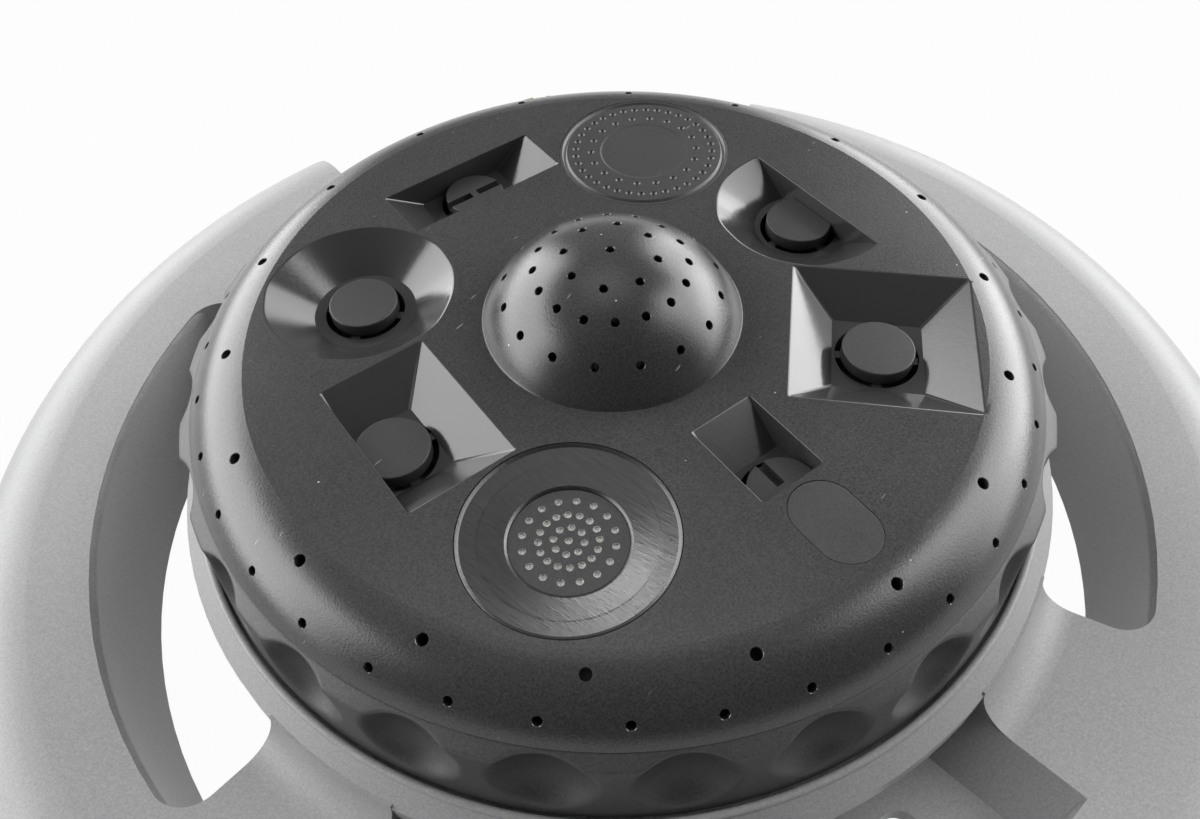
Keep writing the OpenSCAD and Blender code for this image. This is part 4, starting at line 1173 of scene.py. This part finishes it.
@dataclass
class MistDisc:
    """Flush disc with a grooved rim, two circles of fine dimples and a plain sunk middle."""

    palette: Palette
    x: float = STATION_R
    r: float = 12.8
    top_z: float = FACE_Z
    thickness: float = 2.4
    groove_r: float = 12.1
    groove_w: float = 0.35
    groove_d: float = 0.35
    middle_r: float = 6.4
    middle_d: float = 0.1
    hole_r: float = 0.36
    rows: Rows = ((36, 10.4, 5.0), (18, 8.05, 0.0))

    def build(self) -> Object:
        """Models the disc and returns it as a piece."""
        top, low = self.top_z, self.top_z - self.thickness
        corners = [
            (0.0, low), (self.r, low), (self.r, top - 0.05), (self.r - 0.1, top),
            (self.groove_r + self.groove_w, top), (self.groove_r, top - self.groove_d),
            (self.groove_r - self.groove_w, top), (self.middle_r + 0.3, top),
            (self.middle_r, top - self.middle_d), (0.0, top - self.middle_d),
        ]
        low_r, high_r = self.hole_r * 0.5, self.hole_r * 2.3
        holes = circles(self.rows, lambda r: cone(low_r, high_r, top - 0.3, top + 0.3, r, 18))
        for hole in holes:
            paint(hole, Surface.GRAINED)
        body = work(revolve(rounded(corners, 0.06, 2), 144, closed=False), join(*holes), Cut.AWAY)
        stand(body, Station.MIST, self.x)
        piece = shape("mist_plate", body, [self.palette.insert, self.palette.walls])
        return place(piece, "turret", "insert_plastic", "mist_disc")


@dataclass
class OvalInlay:
    """Flush inlay with round ends, smoother than the face round it."""

    palette: Palette
    length: float = 11.7
    width: float = 8.1
    thickness: float = 1.2
    sunk: float = 0.02

    def build(self) -> Object:
        """Models the inlay and returns it as a piece."""
        mesh = oval(self.length, self.width, FACE_Z - self.thickness, FACE_Z - self.sunk)
        soften(mesh, 0.12, 2, lambda point: point.z > FACE_Z - 0.5)
        paint(mesh, Surface.GRAINED)
        stand(mesh, Station.SLOT)
        return place(shape("oval_plug", mesh, [self.palette.insert]), "turret", "insert_plastic", "oval_inlay")


@dataclass
class HoseThread:
    """Female thread inside the coupling: a ridge that winds round the bore."""

    palette: Palette
    axis_z: float = 16.2
    start_y: float = 70.9
    bore_r: float = 12.72
    crest_r: float = 12.0
    pitch: float = 2.21
    turns: float = 2.6
    steps_a_turn: int = 48

    def build(self) -> Object:
        """Models the ridge and returns it as a piece."""
        mesh = bmesh.new()
        half = self.pitch * 0.36
        tip = half * 0.3
        corners = [(self.bore_r, -half), (self.crest_r, -tip), (self.crest_r, tip), (self.bore_r, half)]
        verts = [mesh.verts.new((r, y, 0)) for r, y in corners]
        face = mesh.faces.new(verts)
        steps = int(self.turns * self.steps_a_turn)
        along = (0, self.pitch * self.turns / steps, 0)
        spun = {"cent": (0, 0, 0), "axis": (0, 1, 0), "dvec": along, "angle": math.tau * self.turns}
        bmesh.ops.spin(mesh, geom=[face] + face.edges[:] + verts, steps=steps, **spun)
        bmesh.ops.recalc_face_normals(mesh, faces=mesh.faces)
        bmesh.ops.translate(mesh, verts=mesh.verts, vec=(0, self.start_y, self.axis_z))
        return place(shape("hose_thread_ridge", mesh, [self.palette.brass]), "coupling", "brass")


@dataclass
class CollarBead:
    """Rounded bead on top of the collar that stands round the foot of the grip ring."""

    palette: Palette
    r: float = 59.52
    z: float = 30.3
    half: float = 0.54

    def build(self) -> Object:
        """Models the bead and returns it as a piece."""
        mesh = revolve(arc((self.r, self.z), self.half, 0.0, 337.5, 15), 360)
        return place(shape("collar_bead", mesh, [self.palette.coat]), "base", "base_coat")


@dataclass
class CoilSpring:
    """Spring between the base and a sprung piece, drawn where its solid lies."""

    palette: Palette
    node: str
    body: str

    def build(self) -> Object:
        """Copies the coil from its solid, in the solid's place."""
        mesh = bmesh.new()
        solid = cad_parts[self.node]
        mesh.from_mesh(solid.data)
        mesh.transform(solid.matrix_world)
        bmesh.ops.scale(mesh, vec=(1 / MM, 1 / MM, 1 / MM), verts=mesh.verts)
        bmesh.ops.remove_doubles(mesh, verts=mesh.verts, dist=MERGE_MM)
        piece = shape(f"{self.node}_coil", mesh, [self.palette.steel])
        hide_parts(self.node)
        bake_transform(piece)
        LOG.info("%s bends between base and %s", piece.name, self.body)
        return piece


@dataclass
class Turret:
    """The turning head: cap, grip ring, nozzles and inserts."""

    palette: Palette

    def build(self) -> None:
        """Builds each piece of the head."""
        TurretCap(self.palette).build()
        GripRing(self.palette).build()
        for nozzle in nozzles(self.palette):
            nozzle.build()
        shower = ShowerStation(self.palette)
        shower.dish()
        shower.plate()
        MistDisc(self.palette).build()
        OvalInlay(self.palette).build()


@dataclass
class InnerWorks:
    """The solids that show as they are, and the finish of each."""

    palette: Palette

    def build(self) -> None:
        """Gives each solid its finish."""
        palette = self.palette
        groups = (
            (palette.brass, ("inlet_tail", "hose_coupling")),
            (palette.rubber, ("hose_washer", "port_seal", "pivot_o_ring", "plate_o_ring")),
            (palette.acetal, ("seal_carrier", "thrust_washer")),
            (palette.steel, ("inlet_screen", "seal_spring", "detent_plunger", "detent_spring")),
            (palette.steel, ("pivot_sleeve", "pivot_screw", "pivot_washer")),
            (palette.turret, ("port_plate", "turret_shell")),
            (palette.coat, ("base_casting",)),
            (palette.grip, ("grip_ring",)),
            (palette.dish, ("shower_dish",)),
        )
        finishes = {node: material for material, nodes in groups for node in nodes}
        for node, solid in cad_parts.items():
            material = finishes.get(node, palette.insert)
            solid.data.materials.clear()
            solid.data.materials.append(material)
            LOG.info("%s is finished in %s", node, material.name)


# The studio


@dataclass
class Studio:
    """White sweep, soft lamps and a camera where the photograph was taken."""

    camera_mm: tuple[float, float, float] = (-15.55, -92.25, 145.29)
    heading: float = 8.25
    elevation: float = -51.06
    roll: float = -2.55
    lens: float = 30.27
    left_wall: float = 6.0
    right_wall: float = 5.2
    floor_to_eye: float = 0.97
    floor_size: float = 3.0

    def camera(self) -> None:
        """Makes the camera from its place, heading, elevation and roll."""
        data = bpy.data.cameras.new("camera")
        data.sensor_width = 36.0
        data.lens = self.lens
        data.clip_start, data.clip_end = 0.005, 20.0
        h, e, r = (math.radians(v) for v in (self.heading, self.elevation, self.roll))
        ahead = Vector((math.sin(h) * math.cos(e), math.cos(h) * math.cos(e), math.sin(e)))
        level = Vector((math.cos(h), -math.sin(h), 0.0))
        above = level.cross(ahead)
        right = level * math.cos(r) + above * math.sin(r)
        up = above * math.cos(r) - level * math.sin(r)
        axes = Matrix((right, up, -ahead)).transposed()
        camera = put("camera", data)
        camera.matrix_world = Matrix.Translation(Vector(self.camera_mm) * MM) @ axes.to_4x4()
        bpy.context.scene.camera = camera

    def floor(self) -> None:
        """Makes the floor, white to the eye and still with the shadow of the object."""
        mesh = bmesh.new()
        bmesh.ops.create_grid(mesh, x_segments=1, y_segments=1, size=self.floor_size)
        floor = put("floor", stored("floor", mesh))
        # Paper that is grey to soft light and white to the eye and to reflections
        material = bpy.data.materials.new("paper_white")
        material.use_nodes = True
        tree = material.node_tree
        tree.nodes.clear()
        ray = add(tree, "LightPath", {}).outputs
        clear = reckon(tree, "MAXIMUM", ray["Is Glossy Ray"], ray["Is Transmission Ray"])
        to_eye = {"data_type": "FLOAT", 0: ray["Is Camera Ray"], 2: clear, 3: self.floor_to_eye}
        share = add(tree, "Mix", to_eye).outputs[0]
        paper = add(tree, "BsdfDiffuse", {"Color": srgb("#909090")}).outputs[0]
        white = add(tree, "Emission", {"Strength": 1.0}).outputs[0]
        surface = add(tree, "MixShader", {0: share, 1: paper, 2: white}).outputs[0]
        add(tree, "OutputMaterial", {"Surface": surface})
        floor.data.materials.append(material)

    def world(self) -> None:
        """Makes the surroundings: white to the eye, white walls low on both sides and a dim room elsewhere."""
        world = bpy.data.worlds.new("studio")
        bpy.context.scene.world = world
        world.use_nodes = True
        tree = world.node_tree
        tree.nodes.clear()
        direction = add(tree, "TexCoord", {}).outputs["Generated"]
        parts = add(tree, "SeparateXYZ", {"Vector": direction}).outputs
        left = self.white_wall(tree, parts, -1.0, 0.3, 0.62, 0.0, self.left_wall)
        right = self.white_wall(tree, parts, 1.0, 0.44, 0.6, 0.22, self.right_wall)
        room = self.fade(tree, parts["Y"], (-0.7, 0.2), (0.08, 0.3))
        level = reckon(tree, "ADD", reckon(tree, "ADD", left, right), room)
        ray = add(tree, "LightPath", {}).outputs
        to_eye = {"data_type": "FLOAT", 0: ray["Is Camera Ray"], 2: level, 3: 1.0}
        strength = add(tree, "Mix", to_eye).outputs[0]
        background = add(tree, "Background", {"Color": (1, 1, 1, 1), "Strength": strength})
        add(tree, "OutputWorld", {"Surface": background.outputs[0]})

    def fade(self, tree: Tree, value: Socket, source: Point, target: Point) -> Socket:
        """Value that turns softly from one level to another."""
        return remap(tree, value, source, target, interpolation_type="SMOOTHSTEP")

    def white_wall(
        self, tree: Tree, parts: Any, side: float, edge: float, top: float, rise: float, level: float
    ) -> Socket:
        """Lays a lit white wall into the surroundings, on one side and towards the back.

        Args:
            tree: Node tree of the world.
            parts: Sockets with the x, y and z of the direction.
            side: -1 for the left, 1 for the right.
            edge: Sideways part of the direction at which the wall begins.
            top: Upward part of the direction at which the wall ends, at the back.
            rise: How much higher it ends beside the object and in front.
            level: How bright it is.

        Returns:
            Socket with the brightness of the wall.
        """
        aside = reckon(tree, "MULTIPLY", parts["X"], side)
        lift = self.fade(tree, parts["Y"], (0.0, 0.3), (rise, 0.0))
        height = reckon(tree, "SUBTRACT", parts["Z"], lift)
        lit = self.fade(tree, aside, (edge - 0.1, edge + 0.14), (0.0, level))
        below = self.fade(tree, height, (top - 0.01, top + 0.05), (1.0, 0.0))
        behind = self.fade(tree, parts["Y"], (-0.45, 0.0), (0.0, 1.0))
        return reckon(tree, "MULTIPLY", reckon(tree, "MULTIPLY", lit, below), behind)

    def lamp(
        self, name: str, azimuth: float, elevation: float, distance: float, size: Point, power: float
    ) -> Object:
        """Hangs a soft lamp that looks at the object.

        Args:
            name: Name of the lamp.
            azimuth: Direction of the lamp from the object, in degrees from +X towards +Y.
            elevation: Its height above the horizon, in degrees.
            distance: Its distance from the object, in metres.
            size: Width and height of its face, in metres.
            power: Power in watts.

        Returns:
            The lamp.
        """
        data = bpy.data.lights.new(name, "AREA")
        data.shape = "RECTANGLE"
        data.size, data.size_y = size
        data.energy = power
        lamp = put(name, data)
        a, e = math.radians(azimuth), math.radians(elevation)
        away = Vector((math.cos(a) * math.cos(e), math.sin(a) * math.cos(e), math.sin(e)))
        lamp.location = away * distance
        lamp.rotation_mode = "QUATERNION"
        lamp.rotation_quaternion = away.to_track_quat("Z", "Y")
        return lamp

    def light_dish(self, *names: str) -> None:
        """Hangs a small lamp at the back whose light falls on the named pieces alone."""
        lamp = self.lamp("spot_on_dish", 98.0, 50.0, 1.0, (0.26, 0.14), 2.0)
        lit = bpy.data.collections.new("lit_by_spot")
        for name in names:
            lit.objects.link(bpy.data.objects[name])
        lamp.light_linking.receiver_collection = lit

    def build(self) -> None:
        """Sets up camera, floor, world and lamps."""
        self.camera()
        self.floor()
        self.world()
        self.lamp("soft_box_right", 20.0, 16.0, 0.9, (0.5, 0.3), 1.5)
        self.lamp("soft_box_top", 100.0, 78.0, 1.0, (0.5, 0.5), 0.6)
        bpy.context.scene.view_settings.view_transform = "Standard"


def main() -> None:
    """Builds the studio and the sprinkler in order."""
    logging.basicConfig(level=logging.INFO, format="%(name)s: %(message)s")
    studio = Studio()
    studio.build()
    palette = Palette()
    InnerWorks(palette).build()
    Turret(palette).build()
    studio.light_dish("shower_bowl")
    HoseThread(palette).build()
    CollarBead(palette).build()
    CoilSpring(palette, "seal_spring", "seal").build()
    CoilSpring(palette, "detent_spring", "detent").build()
    LOG.info("size written")


if __name__ == "__main__":
    main()
